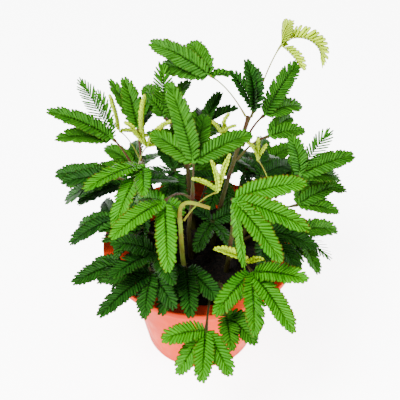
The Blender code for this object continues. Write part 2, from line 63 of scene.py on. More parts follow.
class Stand(Enum):
    """How a leaf stands.

    Each stand gives the fold and twist of the leaflets in degrees, their share of the
    full length, and their share of the full lean away from the rib.
    """

    OPEN = (10.0, 12.0, 1.0, 1.0)
    HALF = (38.0, 18.0, 1.0, 1.0)
    BUD = (45.0, 5.0, 0.9, 0.75)
    YOUNG = (50.0, 12.0, 0.6, 0.55)

    @property
    def fold(self) -> float:
        """Angle that the leaflets are lifted by, in radians."""
        return math.radians(self.value[0])

    @property
    def twist(self) -> float:
        """Turn of each leaflet about its own length, in radians."""
        return math.radians(self.value[1])

    @property
    def share(self) -> float:
        """Share of the full leaflet length."""
        return self.value[2]

    @property
    def lean(self) -> float:
        """Share of the full angle between leaflet and rib."""
        return self.value[3]


class Tone(Enum):
    """The leaf tones: YELLOW for the young leaves, and three greens that differ partly in the
    leaves' own colour and partly as painted light and shade, BRIGHT for the lit front leaves and
    DEEP for the inner and low leaves in shade.
    """

    BRIGHT = "bright"
    FRESH = "fresh"
    DEEP = "deep"
    YELLOW = "yellow"


# ---------------------------------------------------------------- finishes


class Nodes:
    """A shorthand for wiring one material's nodes."""

    def __init__(self, name: str) -> None:
        """Start a material with a Principled shader.

        Args:
            name: the material's name.
        """
        self.material = bpy.data.materials.new(name)
        self.material.use_nodes = True
        self.tree = self.material.node_tree
        self.shader = self.tree.nodes["Principled BSDF"]

    def add(self, kind: str, **values: object) -> bpy.types.Node:
        """Add a node.

        Args:
            kind: the node's type name.
            values: properties of the node to set.

        Returns:
            The new node.
        """
        node = self.tree.nodes.new(kind)
        for key, value in values.items():
            setattr(node, key, value)
        return node

    def join(self, source: Socket, target: Socket) -> None:
        """Link one socket to another."""
        self.tree.links.new(source, target)

    def attribute(self, name: str) -> Socket:
        """The value of a named attribute of the piece."""
        return self.add("ShaderNodeAttribute", attribute_name=name).outputs["Fac"]

    def place(self) -> Socket:
        """The Object coordinates."""
        return self.add("ShaderNodeTexCoord").outputs["Object"]

    def grain(self, scale: float, detail: float = 3.0,
              stretch: Point | None = None) -> Socket:
        """A noise pattern over the surface.

        Args:
            scale: repeats per metre.
            detail: number of finer layers.
            stretch: scale along each axis, where the pattern is drawn out.

        Returns:
            The noise value, about 0 to 1.
        """
        pattern = self.add("ShaderNodeTexNoise")
        pattern.inputs["Scale"].default_value = scale
        pattern.inputs["Detail"].default_value = detail
        source = self.place()
        if stretch:
            mapping = self.add("ShaderNodeMapping")
            mapping.inputs["Scale"].default_value = stretch
            self.join(source, mapping.inputs["Vector"])
            source = mapping.outputs["Vector"]
        self.join(source, pattern.inputs["Vector"])
        return pattern.outputs["Fac"]

    def height(self) -> Socket:
        """The height of each point of the surface.

        Returns:
            The height above the part's underside, in metres.
        """
        split = self.add("ShaderNodeSeparateXYZ")
        self.join(self.place(), split.inputs[0])
        return split.outputs[2]

    def sum(self, first: Socket, second: Socket | float, how: str = 'ADD') -> Socket:
        """Combine two values.

        Args:
            first: the first value.
            second: another value, or a number.
            how: the Math node's operation.

        Returns:
            The result.
        """
        node = self.add("ShaderNodeMath", operation=how)
        self.join(first, node.inputs[0])
        if isinstance(second, (int, float)):
            node.inputs[1].default_value = second
        else:
            self.join(second, node.inputs[1])
        return node.outputs[0]

    def remap(self, source: Socket, low: float, high: float,
              to_low: float = 0.0, to_high: float = 1.0) -> Socket:
        """Stretch a range of values to another, held at its ends.

        Args:
            source: the values.
            low: the value that becomes to_low.
            high: the value that becomes to_high.
            to_low: the result at and below low.
            to_high: the result at and above high.

        Returns:
            The stretched values.
        """
        node = self.add("ShaderNodeMapRange", interpolation_type='SMOOTHSTEP')
        for socket, value in zip(("From Min", "From Max", "To Min", "To Max"),
                                 (low, high, to_low, to_high)):
            node.inputs[socket].default_value = value
        self.join(source, node.inputs["Value"])
        return node.outputs["Result"]

    def mix(self, factor: Socket, first: Socket | Colour, second: Socket | Colour) -> Socket:
        """Mix two colours.

        Args:
            factor: how much of the second colour shows.
            first: a colour socket, or a colour as three numbers.
            second: a colour socket, or a colour as three numbers.

        Returns:
            The mixed colour.
        """
        node = self.add("ShaderNodeMix", data_type='RGBA')
        self.join(factor, node.inputs[0])
        for socket, colour in ((node.inputs[6], first), (node.inputs[7], second)):
            if isinstance(colour, tuple):
                socket.default_value = (*colour, 1.0)
            else:
                self.join(colour, socket)
        return node.outputs[2]

    def bump(self, height: Socket, distance: float, strength: float) -> None:
        """Raise the surface's shading by a height pattern.

        Args:
            height: the pattern.
            distance: depth of the relief in metres.
            strength: how strongly it shows.
        """
        node = self.add("ShaderNodeBump")
        node.inputs["Distance"].default_value = distance
        node.inputs["Strength"].default_value = strength
        self.join(height, node.inputs["Height"])
        self.join(node.outputs["Normal"], self.shader.inputs["Normal"])

    def finish(self, skin: Socket, roughness: Socket | float,
               shine: float) -> bpy.types.Material:
        """Set the shader's main inputs.

        Args:
            skin: the colour.
            roughness: the roughness, as a socket or a number.
            shine: the specular level.

        Returns:
            The material.
        """
        self.join(skin, self.shader.inputs["Base Color"])
        if isinstance(roughness, float):
            self.shader.inputs["Roughness"].default_value = roughness
        else:
            self.join(roughness, self.shader.inputs["Roughness"])
        self.shader.inputs["Specular IOR Level"].default_value = shine
        return self.material


@dataclass(frozen=True)
class LeafFinish:
    """The skin of a leaflet: its colours and how brown its edges have turned."""

    name: str
    light: Colour
    dark: Colour
    rust: Colour
    browning: float = 0.5
    roughness: float = 0.42
    shine: float = 0.05
    # How dark the painted shadow on the overlapped edge and the foot is, as a share of the dark
    # green
    covered_share: float = 0.28
    rib_gain: float = 1.25
    veins: float = 3.2
    relief: float = 0.00018

    def make(self) -> bpy.types.Material:
        """Build the material, with midrib, side veins, brown edge and leaf-to-leaf changes.

        Returns:
            The material.
        """
        n = Nodes(self.name)
        split = n.add("ShaderNodeSeparateXYZ")
        n.join(n.add("ShaderNodeUVMap", uv_map="leaflet").outputs["UV"], split.inputs[0])
        along, across = split.outputs[0], split.outputs[1]
        side = n.sum(n.sum(n.sum(across, 0.5, 'SUBTRACT'), 2.0, 'MULTIPLY'), 0.0, 'ABSOLUTE')
        patch = n.remap(n.grain(260.0, 2.0), 0.3, 0.7, -0.16, 0.16)
        skin = n.mix(n.sum(n.attribute("tone"), patch), self.dark, self.light)
        # The neighbour's shadow on the overlapped edge, and the rib's on the foot
        covered = n.sum(n.remap(across, 0.12, 0.24, 0.35, 0.0),
                        n.remap(along, 0.0, 0.12, 0.15, 0.0), 'MAXIMUM')
        skin = n.mix(covered, skin, tuple(c * self.covered_share for c in self.dark))
        rib = n.remap(side, 0.04, 0.16, 0.25, 0.0)
        skin = n.mix(rib, skin, tuple(min(1.0, c * self.rib_gain + 0.01) for c in self.light))
        rim = n.sum(n.remap(side, 0.62, 0.98, 0.0, 0.5), n.remap(along, 0.80, 0.97), 'MAXIMUM')
        mottle = n.remap(n.grain(420.0, 1.0), 0.35, 0.62, 0.35, 1.0)
        rust = n.sum(n.sum(n.sum(rim, mottle, 'MULTIPLY'), n.attribute("rust"), 'MULTIPLY'),
                     self.browning, 'MULTIPLY')
        skin = n.mix(rust, skin, self.rust)
        vein = n.add("ShaderNodeTexWave", wave_type='BANDS', bands_direction='X')
        vein.inputs["Scale"].default_value = self.veins
        vein.inputs["Distortion"].default_value = 1.5
        shift = n.add("ShaderNodeCombineXYZ")
        n.join(n.sum(along, n.sum(side, 0.35, 'MULTIPLY'), 'SUBTRACT'), shift.inputs[0])
        n.join(shift.outputs[0], vein.inputs["Vector"])
        groove = n.remap(side, 0.0, 0.2, -1.0, 0.0)
        n.bump(n.sum(n.sum(vein.outputs["Fac"], 0.5, 'MULTIPLY'), groove), self.relief, 0.6)
        return n.finish(skin, self.roughness, self.shine)


@dataclass(frozen=True)
class StalkFinish:
    """The skin of stems and leaf stalks: olive green turning brown, with fine streaks, and painted
    shade that darkens them low down under the leaves.
    """

    name: str = "stalk_skin"
    green: Colour = (0.028, 0.032, 0.004)
    brown: Colour = (0.034, 0.010, 0.004)
    pale: Colour = (0.070, 0.040, 0.015)
    # The near-black green of the painted shade under the leaves, the height where it stops, and
    # how far it fades in
    shade_colour: Colour = (0.014, 0.015, 0.002)
    lit_above: float = 0.19
    shade_depth: float = 0.05

    def make(self) -> bpy.types.Material:
        """Build the material, with blotches along the stalk, painted shade low down and fine hairs
        as relief.

        Returns:
            The material.
        """
        n = Nodes(self.name)
        blotch = n.remap(n.grain(55.0, 4.0), 0.35, 0.65)
        skin = n.mix(blotch, self.green, self.brown)
        streak = n.remap(n.grain(900.0, 2.0, (1.0, 1.0, 0.12)), 0.5, 0.8, 0.0, 0.55)
        skin = n.mix(streak, skin, self.pale)
        # Painted shade: darker towards a near-black green below about 0.19 m, where the leaves
        # above shade the stalks
        canopy_shade = n.remap(n.height(), self.lit_above - self.shade_depth, self.lit_above,
                      0.85, 0.0)
        skin = n.mix(canopy_shade, skin, self.shade_colour)
        n.bump(n.grain(2200.0, 2.0), 0.0003, 0.5)
        return n.finish(skin, 0.6, 0.08)


YOUNG_STALK = StalkFinish("stalk_skin_young", (0.13, 0.21, 0.008), (0.12, 0.10, 0.008),
                          (0.20, 0.12, 0.03))


@dataclass(frozen=True)
class PotFinish:
    """The pot's satin plastic, terracotta coloured, a little dusty and faded."""

    name: str = "terracotta_plastic"
    body: Colour = (0.44, 0.031, 0.006)
    deep: Colour = (0.32, 0.020, 0.004)
    dust: Colour = (0.55, 0.090, 0.040)

    shine: float = 0.01
    foot_height: float = 0.03

    def make(self) -> bpy.types.Material:
        """Build the material, with faint cloudy fading, dust and scuffs.

        Returns:
            The material.
        """
        n = Nodes(self.name)
        cloud = n.remap(n.grain(24.0, 5.0), 0.3, 0.7)
        skin = n.mix(cloud, self.deep, self.body)
        scuff = n.remap(n.grain(110.0, 6.0, (1.0, 1.0, 0.5)), 0.54, 0.78, 0.0, 0.5)
        skin = n.mix(scuff, skin, self.dust)
        # Darker towards the bottom, over the lowest foot_height of the pot
        foot = n.remap(n.height(), 0.0, self.foot_height, 0.35, 0.0)
        skin = n.mix(foot, skin, self.deep)
        n.bump(n.grain(700.0, 4.0), 0.00015, 0.45)
        return n.finish(skin, n.remap(n.grain(90.0, 5.0), 0.3, 0.7, 0.34, 0.5), self.shine)


@dataclass(frozen=True)
class SoilFinish:
    """Moist potting soil with brown fibres and grit, nearly black partly in its own colour and
    partly as painted shade from the leaves above.
    """

    name: str = "potting_soil"
    # Both colours are the soil's own dark browns deepened to near-black as painted shade under the
    # leaves
    dark_soil_and_shade: Colour = (0.0010, 0.0007, 0.0005)
    brown: Colour = (0.007, 0.004, 0.002)

    def make(self) -> bpy.types.Material:
        """Build the material, with grit as colour and relief.

        Returns:
            The material.
        """
        n = Nodes(self.name)
        grit = n.remap(n.grain(420.0, 6.0), 0.42, 0.7)
        n.bump(n.grain(900.0, 6.0), 0.0012, 0.9)
        return n.finish(n.mix(grit, self.dark_soil_and_shade, self.brown),
                        n.remap(n.grain(150.0, 3.0), 0.3, 0.7, 0.7, 1.0), 0.1)


@dataclass(frozen=True)
class FloorFinish:
    """The pale paper that the plant stands on, outside the object."""

    name: str = "pale_floor"
    colour: Colour = (0.95, 0.95, 0.95)
    glow: float = 7.0

    def make(self) -> bpy.types.Material:
        """Build the material, which glows a little so that it stays nearly white.

        Returns:
            The material.
        """
        n = Nodes(self.name)
        for socket, value in (("Base Color", (*self.colour, 1.0)), ("Roughness", 0.9),
                              ("Specular IOR Level", 0.0), ("Emission Color", (1.0,) * 4),
                              ("Emission Strength", self.glow)):
            n.shader.inputs[socket].default_value = value
        return n.material


@dataclass
class Finishes:
    """Every material of the object, each built once."""

    made: dict[str, bpy.types.Material] = field(default_factory=dict)

    # Each tone's light and dark green, the brown of its edges, and how brown they are
    TOPS = {
        # BRIGHT is lighter and DEEP darker than the leaves' own greens, partly as painted light
        # and painted shade
        Tone.BRIGHT: ((0.036, 0.205, 0.001), (0.012, 0.100, 0.0005), (0.090, 0.032, 0.004), 0.9),
        Tone.FRESH: ((0.027, 0.135, 0.003), (0.008, 0.055, 0.002), (0.060, 0.026, 0.004), 0.5),
        Tone.DEEP: ((0.011, 0.062, 0.004), (0.002, 0.018, 0.002), (0.035, 0.017, 0.004), 0.35),
        Tone.YELLOW: ((0.43, 0.60, 0.0), (0.25, 0.40, 0.0), (0.20, 0.070, 0.004), 0.7),
    }

    def leaf(self, tone: Tone, under: bool) -> bpy.types.Material:
        """The leaflet skin for one leaf tone.

        Args:
            tone: the leaf's tone, which for BRIGHT and DEEP carries painted light and shade.
            under: True for the paler underside.

        Returns:
            The material.
        """
        name = f"leaf_{tone.value}" + ("_under" if under else "")
        if name not in self.made:
            light, dark, rust, browning = self.TOPS[tone]
            roughness = 0.42
            if under:
                light = tuple(c * 0.75 + 0.012 for c in light)
                dark = tuple(c * 0.8 + 0.006 for c in dark)
                roughness = 0.6
            self.made[name] = LeafFinish(name, light, dark, rust, browning, roughness).make()
        return self.made[name]

    def other(self, finish: StalkFinish | PotFinish | SoilFinish | FloorFinish
              ) -> bpy.types.Material:
        """The material of a finish that has only one form.

        Args:
            finish: the finish, known by its name.

        Returns:
            The material.
        """
        if finish.name not in self.made:
            self.made[finish.name] = finish.make()
        return self.made[finish.name]


# ---------------------------------------------------------------- bench tools


class Bench:
    """Steps that every sub-assembly uses."""

    @staticmethod
    def clear() -> None:
        """Deselect everything, out of edit mode."""
        if bpy.context.object and bpy.context.object.mode != 'OBJECT':
            bpy.ops.object.mode_set(mode='OBJECT')
        bpy.ops.object.select_all(action='DESELECT')

    @staticmethod
    def pick(*pieces: bpy.types.Object) -> None:
        """Select only these pieces.

        Args:
            pieces: the pieces; the first one becomes the active one.
        """
        Bench.clear()
        for piece in pieces:
            piece.select_set(True)
        bpy.context.view_layer.objects.active = pieces[0]

    @staticmethod
    def smooth(piece: bpy.types.Object, angle: float) -> None:
        """Shade a piece smooth except over edges sharper than an angle in degrees."""
        Bench.pick(piece)
        bpy.ops.object.shade_smooth_by_angle(angle=math.radians(angle))

    @staticmethod
    def join(pieces: list[bpy.types.Object], name: str) -> bpy.types.Object:
        """Join pieces into one with a name.

        Args:
            pieces: the pieces; the first one stays.
            name: the name of the joined piece.

        Returns:
            The joined piece.
        """
        Bench.pick(*pieces)
        bpy.ops.object.join()
        pieces[0].name = pieces[0].data.name = name
        return pieces[0]

    @staticmethod
    def from_arrays(name: str, points: np.ndarray, faces: list) -> bpy.types.Object:
        """A piece from its points and faces.

        Args:
            name: the piece's name.
            points: its points, in metres.
            faces: its faces, each as the numbers of its points.

        Returns:
            The piece.
        """
        mesh = bpy.data.meshes.new(name)
        mesh.from_pydata(points.tolist(), [], faces)
        piece = bpy.data.objects.new(name, mesh)
        bpy.context.scene.collection.objects.link(piece)
        return piece

    @staticmethod
    def take_apart(piece: bpy.types.Object) -> tuple[np.ndarray, list[tuple[int, ...]]]:
        """Turn a pattern piece into arrays and remove it.

        Args:
            piece: the pattern piece.

        Returns:
            Its points and its faces.
        """
        points = np.array([v.co for v in piece.data.vertices])
        faces = [tuple(p.vertices) for p in piece.data.polygons]
        bpy.data.objects.remove(piece)
        return points, faces

    @staticmethod
    def copies(name: str, pattern: bpy.types.Object,
               places: list[tuple[Matrix, float, np.ndarray]]) -> bpy.types.Object:
        """Turned and scaled copies of a pattern piece, all in one mesh.

        Args:
            name: the new piece's name.
            pattern: the piece to copy, which is removed.
            places: each copy's turn, its size, and its place in metres.

        Returns:
            The new piece.
        """
        shape, faces = Bench.take_apart(pattern)
        points = [shape @ np.array(turn).T * size + place for turn, size, place in places]
        polygons = [tuple(i + copy * len(shape) for i in face)
                    for copy in range(len(places)) for face in faces]
        return Bench.from_arrays(name, np.concatenate(points), polygons)

    @staticmethod
    def hand_over(piece: bpy.types.Object, node: str, slot: str) -> None:
        """Ride a finished piece on the part's body in place of its CAD node.

        Args:
            piece: the finished piece.
            node: the CAD node that it stands for.
            slot: the material slot it answers to; not used.
        """
        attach(piece, "root")
        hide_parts(node)
        log.info("%s: %d faces", piece.name, len(piece.data.polygons))


def smooth_line(knots: list[Vector], step: float) -> list[Vector]:
    """Points at about equal steps on a smooth curve through knots.

    Args:
        knots: the points that the curve passes through.
        step: the length of one straight piece.

    Returns:
        The points.
    """
    padded = [2 * knots[0] - knots[1]] + knots + [2 * knots[-1] - knots[-2]]
    line = [knots[0]]
    for before, start, end, after in zip(padded, padded[1:], padded[2:], padded[3:]):
        pieces = max(1, round((end - start).length / step))
        for piece in range(1, pieces + 1):
            t = piece / pieces
            line.append(0.5 * (2 * start + (end - before) * t
                               + (2 * before - 5 * start + 4 * end - after) * t ** 2
                               + (3 * start - before - 3 * end + after) * t ** 3))
    return line


def tubes(name: str, runs: list[tuple[list[Vector], list[float]]],
          material: bpy.types.Material, sides: int) -> bpy.types.Object:
    """Round rods along lines, drawn as curves with a bevel and then made a mesh.

    Args:
        name: the piece's name.
        runs: for each rod, its points and its radius at each point, in millimetres.
        material: what the rods are made of.
        sides: steps in a quarter of the rod's round.

    Returns:
        The mesh piece.
    """
    curve = bpy.data.curves.new(name, 'CURVE')
    curve.dimensions = '3D'
    curve.bevel_depth = MM
    curve.bevel_resolution = sides - 2
    curve.use_fill_caps = True
    for line, radii in runs:
        spline = curve.splines.new('POLY')
        spline.points.add(len(line) - 1)
        for point, place, radius in zip(spline.points, line, radii):
            point.co = (*(place * MM), 1.0)
            point.radius = radius
    rod = bpy.data.objects.new(name, curve)
    bpy.context.scene.collection.objects.link(rod)
    rod.data.materials.append(material)
    Bench.pick(rod)
    bpy.ops.object.convert(target='MESH')
    rod = bpy.context.object
    bpy.ops.object.shade_smooth()
    return rod


# ---------------------------------------------------------------- pot and soil


@dataclass
class Pot:
    """The flared pot, turned from its profile, with a rolled lip and drain holes.

    Every size is in millimetres. The ridges are fine rings round the neck, each at its
    drop below it.
    """

    finishes: Finishes
    rim_radius: float = 90.0
    height: float = 122.0
    base_radius: float = 53.0
    lip_flare: float = 19.5
    neck_drop: float = 19.0
    wall: float = 3.0
    foot_round: float = 4.0
    lip_depth: float = 7.0
    lip_round: float = 1.5
    ridge: float = 0.5
    ridge_half: float = 0.8
    ridge_drops: tuple[float, ...] = (9.0, 2.0)
    drain_holes: int = 4
    drain_radius: float = 4.0
    drain_circle: float = 33.0
    sides: int = 128

    @property
    def neck(self) -> tuple[float, float]:
        """Radius and height where the lip starts to flare."""
        return self.rim_radius - self.lip_flare, self.height - self.neck_drop

    def flare(self, radius: float, out: float, rise: float, steps: range) -> Section:
        """A quarter of an ellipse, as the lip flares out of the neck.

        Args:
            radius: the radius where it starts.
            out: how far it reaches outwards.
            rise: how far it reaches upwards.
            steps: the eighths of the quarter, in order.

        Returns:
            Its points, as radius and height.
        """
        angles = [math.radians(11.25 * step) for step in steps]
        return [(radius + out * (1 - math.cos(angle)), self.neck[1] + rise * math.sin(angle))
                for angle in angles]

    def profile(self) -> Section:
        """The pot's section from the axis under the floor, over the lip, back to the axis.

        Returns:
            The section's points, as radius and height.
        """
        neck_radius, neck_height = self.neck
        lean = (neck_radius - self.base_radius) / neck_height
        foot = self.base_radius - self.foot_round
        line = [(0.0, 0.0), (foot * 0.5, 0.0), (foot, 0.0)]
        for step in range(1, 7):
            angle = math.radians(15 * step)
            line.append((foot + self.foot_round * math.sin(angle) + self.foot_round * lean,
                         self.foot_round * (1 - math.cos(angle))))
        foot_points = len(line)
        heights = [neck_height * share / 12 for share in range(1, 12)]
        line += [(self.base_radius + h * lean, h) for h in heights]
        for drop in self.ridge_drops:
            height = neck_height - drop
            line += [(self.base_radius + (height + d) * lean + out, height + d)
                     for d, out in ((-self.ridge_half, 0.0), (0.0, self.ridge),
                                    (self.ridge_half, 0.0))]
        line[foot_points:] = sorted(line[foot_points:], key=lambda point: point[1])
        line += self.flare(neck_radius, self.rim_radius - self.lip_round - neck_radius,
                           self.height - self.lip_depth - neck_height, range(0, 9))
        line += self.rolled_edge()
        inner = self.rim_radius - self.wall - self.lip_round
        line.append((inner, self.height))
        line += self.flare(neck_radius - self.wall, inner - (neck_radius - self.wall),
                           self.height - self.wall / 2 - neck_height, range(7, -1, -1))
        line += [(self.base_radius - self.wall + h * lean, h) for h in heights[::-2]
                 if h > self.wall * 3]
        line += [(self.base_radius - self.wall + self.wall * 2 * lean, self.wall * 2),
                 (self.base_radius - self.wall * 2, self.wall), (0.0, self.wall)]
        return line

    def rolled_edge(self) -> Section:
        """The lip's outer band with both corners rounded.

        Returns:
            The band's points, as radius and height.
        """
        low = self.height - self.lip_depth
        points = []
        for height, start in ((low + self.lip_round, -90.0), (self.height - self.lip_round, 0.0)):
            for angle in (math.radians(start + 30 * step) for step in range(4)):
                points.append((self.rim_radius - self.lip_round + self.lip_round * math.cos(angle),
                               height + self.lip_round * math.sin(angle)))
        return points

    def turn(self) -> bpy.types.Object:
        """Draw the profile point by point and spin it about the pot's axis.

        Returns:
            The pot's shell.
        """
        profile = self.profile()
        Bench.clear()
        bpy.ops.mesh.primitive_plane_add(size=MM, location=(0, 0, 0))
        pot = bpy.context.object
        bpy.ops.object.mode_set(mode='EDIT')
        bpy.ops.mesh.merge(type='CENTER')
        for (r0, z0), (r1, z1) in zip(profile, profile[1:]):
            bpy.ops.mesh.extrude_vertices_move(
                TRANSFORM_OT_translate={"value": ((r1 - r0) * MM, 0, (z1 - z0) * MM)})
        bpy.ops.mesh.select_all(action='SELECT')
        bpy.ops.mesh.spin(steps=self.sides, angle=math.tau, center=(0, 0, 0), axis=(0, 0, 1))
        bpy.ops.mesh.select_all(action='SELECT')
        bpy.ops.mesh.remove_doubles(threshold=0.00001)
        bpy.ops.mesh.normals_make_consistent(inside=False)
        bpy.ops.object.mode_set(mode='OBJECT')
        return pot

    def drill(self, pot: bpy.types.Object) -> None:
        """Cut the drain holes through the floor.

        Args:
            pot: the pot's shell.
        """
        for hole in range(self.drain_holes):
            angle = math.tau * (hole + 0.5) / self.drain_holes
            Bench.clear()
            bpy.ops.mesh.primitive_cylinder_add(
                vertices=32, radius=self.drain_radius * MM, depth=self.wall * 4 * MM,
                location=(self.drain_circle * MM * math.cos(angle),
                          self.drain_circle * MM * math.sin(angle), self.wall * MM / 2))
            drill = bpy.context.object
            cut = pot.modifiers.new("drain", 'BOOLEAN')
            cut.operation, cut.solver, cut.object = 'DIFFERENCE', 'EXACT', drill
            Bench.pick(pot)
            bpy.ops.object.modifier_apply(modifier=cut.name)
            bpy.data.objects.remove(drill)

    def build(self) -> None:
        """Make and dress the pot."""
        pot = self.turn()
        self.drill(pot)
        Bench.smooth(pot, 35.0)
        pot.name = pot.data.name = "pot_shell"
        pot.data.materials.clear()
        pot.data.materials.append(self.finishes.other(PotFinish()))
        Bench.hand_over(pot, "pot", "terracotta")


@dataclass
class Soil:
    """The soil in the pot: a lumpy bed with loose crumbs on it.

    Every size is in millimetres. The clearance keeps the bed off the pot's wall.
    """

    finishes: Finishes
    pot: Pot
    level: float = 106.0
    mound: float = 3.0
    lumps: float = 1.6
    clearance: float = 0.5
    rings: int = 26
    sides: int = 96
    shoulder_drop: float = 1.0
    crumbs: int = 900
    crumb_margin: float = 3.0
    crumb_shape: Point = (1.15, 0.85, 0.7)
    crumb_dents: float = 0.25
    crumb_sizes: tuple[float, float] = (0.5, 1.7)
    crumb_tilt: float = 0.6

    def top(self, x: float, y: float) -> float:
        """Height of the soil's surface, from lumps of three sizes on a mound.

        Args:
            x: the place along x, in millimetres.
            y: the place along y, in millimetres.

        Returns:
            The height in millimetres.
        """
        share = min(1.0, math.hypot(x, y) / self.pot.neck[0])
        lump = (noise.noise(Vector((x, y, 0)) * 0.06)
                + 0.5 * noise.noise(Vector((x, y, 9)) * 0.15)
                + 0.45 * noise.noise(Vector((x, y, 5)) * 0.45))
        return self.level + self.mound * (1 - share ** 2) + self.lumps * lump

    def bed(self) -> bpy.types.Object:
        """The body of soil, filled from the pot's floor and raised into lumps on top.

        Returns:
            The bed.
        """
        neck_radius, neck_height = self.pot.neck
        lean = (neck_radius - self.pot.base_radius) / neck_height
        foot = self.pot.base_radius - self.pot.wall * 2 - self.clearance
        edge = (neck_radius - self.pot.wall - self.clearance) * MM
        Bench.clear()
        bpy.ops.mesh.primitive_circle_add(vertices=self.sides, radius=foot * MM, fill_type='NGON',
                                          location=(0, 0, (self.pot.wall + self.clearance) * MM))
        bed = bpy.context.object
        bpy.ops.object.transform_apply(location=True)
        bpy.ops.object.mode_set(mode='EDIT')
        reach = neck_height - self.pot.wall * 3
        side = foot + self.pot.wall
        for lift, radius in ((self.pot.wall, side), (reach * 0.5, side + reach * 0.5 * lean),
                             (reach * 0.5 - self.shoulder_drop, side + reach * lean)):
            bpy.ops.mesh.extrude_region_move(
                TRANSFORM_OT_translate={"value": (0, 0, lift * MM)})
            shell = bmesh.from_edit_mesh(bed.data)
            now = max(v.co.xy.length for v in shell.verts if v.select)
            bpy.ops.transform.resize(value=(radius * MM / now,) * 2 + (1.0,),
                                     center_override=(0, 0, 0))
        bpy.ops.mesh.extrude_region_move(
            TRANSFORM_OT_translate={"value": (0, 0, (self.level - neck_height) * MM)})
        for _ in range(self.rings - 1):
            bpy.ops.mesh.inset(thickness=edge / self.rings, depth=0)
        bpy.ops.mesh.poke()
        bpy.ops.object.mode_set(mode='OBJECT')
        highest = max(v.co.z for v in bed.data.vertices)
        for vertex in bed.data.vertices:
            if vertex.co.z > highest - 0.0002:
                place = vertex.co / MM
                vertex.co.z = self.top(place.x, place.y) * MM
        Bench.smooth(bed, 60.0)
        return bed

    def crumb(self) -> bpy.types.Object:
        """One crumb of soil, a squashed and dented pebble.

        Returns:
            The crumb.
        """
        Bench.clear()
        bpy.ops.mesh.primitive_ico_sphere_add(subdivisions=1, radius=MM)
        crumb = bpy.context.object
        bpy.ops.object.mode_set(mode='EDIT')
        bpy.ops.transform.resize(value=self.crumb_shape)
        bpy.ops.transform.vertex_random(offset=self.crumb_dents * MM, seed=4)
        bpy.ops.object.mode_set(mode='OBJECT')
        return crumb

    def scatter(self) -> bpy.types.Object:
        """Loose crumbs over the bed, each a turned copy of the first.

        Returns:
            The piece that holds them all.
        """
        chance = random.Random(7)
        places = []
        reach = self.pot.neck[0] - self.pot.wall - self.crumb_margin
        for _ in range(self.crumbs):
            radius = reach * math.sqrt(chance.random())
            angle = chance.uniform(0, math.tau)
            x, y = radius * math.cos(angle), radius * math.sin(angle)
            size = chance.uniform(*self.crumb_sizes) ** 1.3
            turn = (Matrix.Rotation(chance.uniform(0, math.tau), 3, 'Z')
                    @ Matrix.Rotation(chance.uniform(-self.crumb_tilt, self.crumb_tilt), 3, 'X'))
            places.append((turn, size, np.array((x, y, self.top(x, y) + 0.2 * size)) * MM))
        return Bench.copies("crumbs", self.crumb(), places)

    def build(self) -> None:
        """Make and dress the soil."""
        soil = Bench.join([self.bed(), self.scatter()], "soil_bed")
        soil.data.materials.clear()
        soil.data.materials.append(self.finishes.other(SoilFinish()))
        Bench.hand_over(soil, "soil", "potting_soil")


# ---------------------------------------------------------------- stems


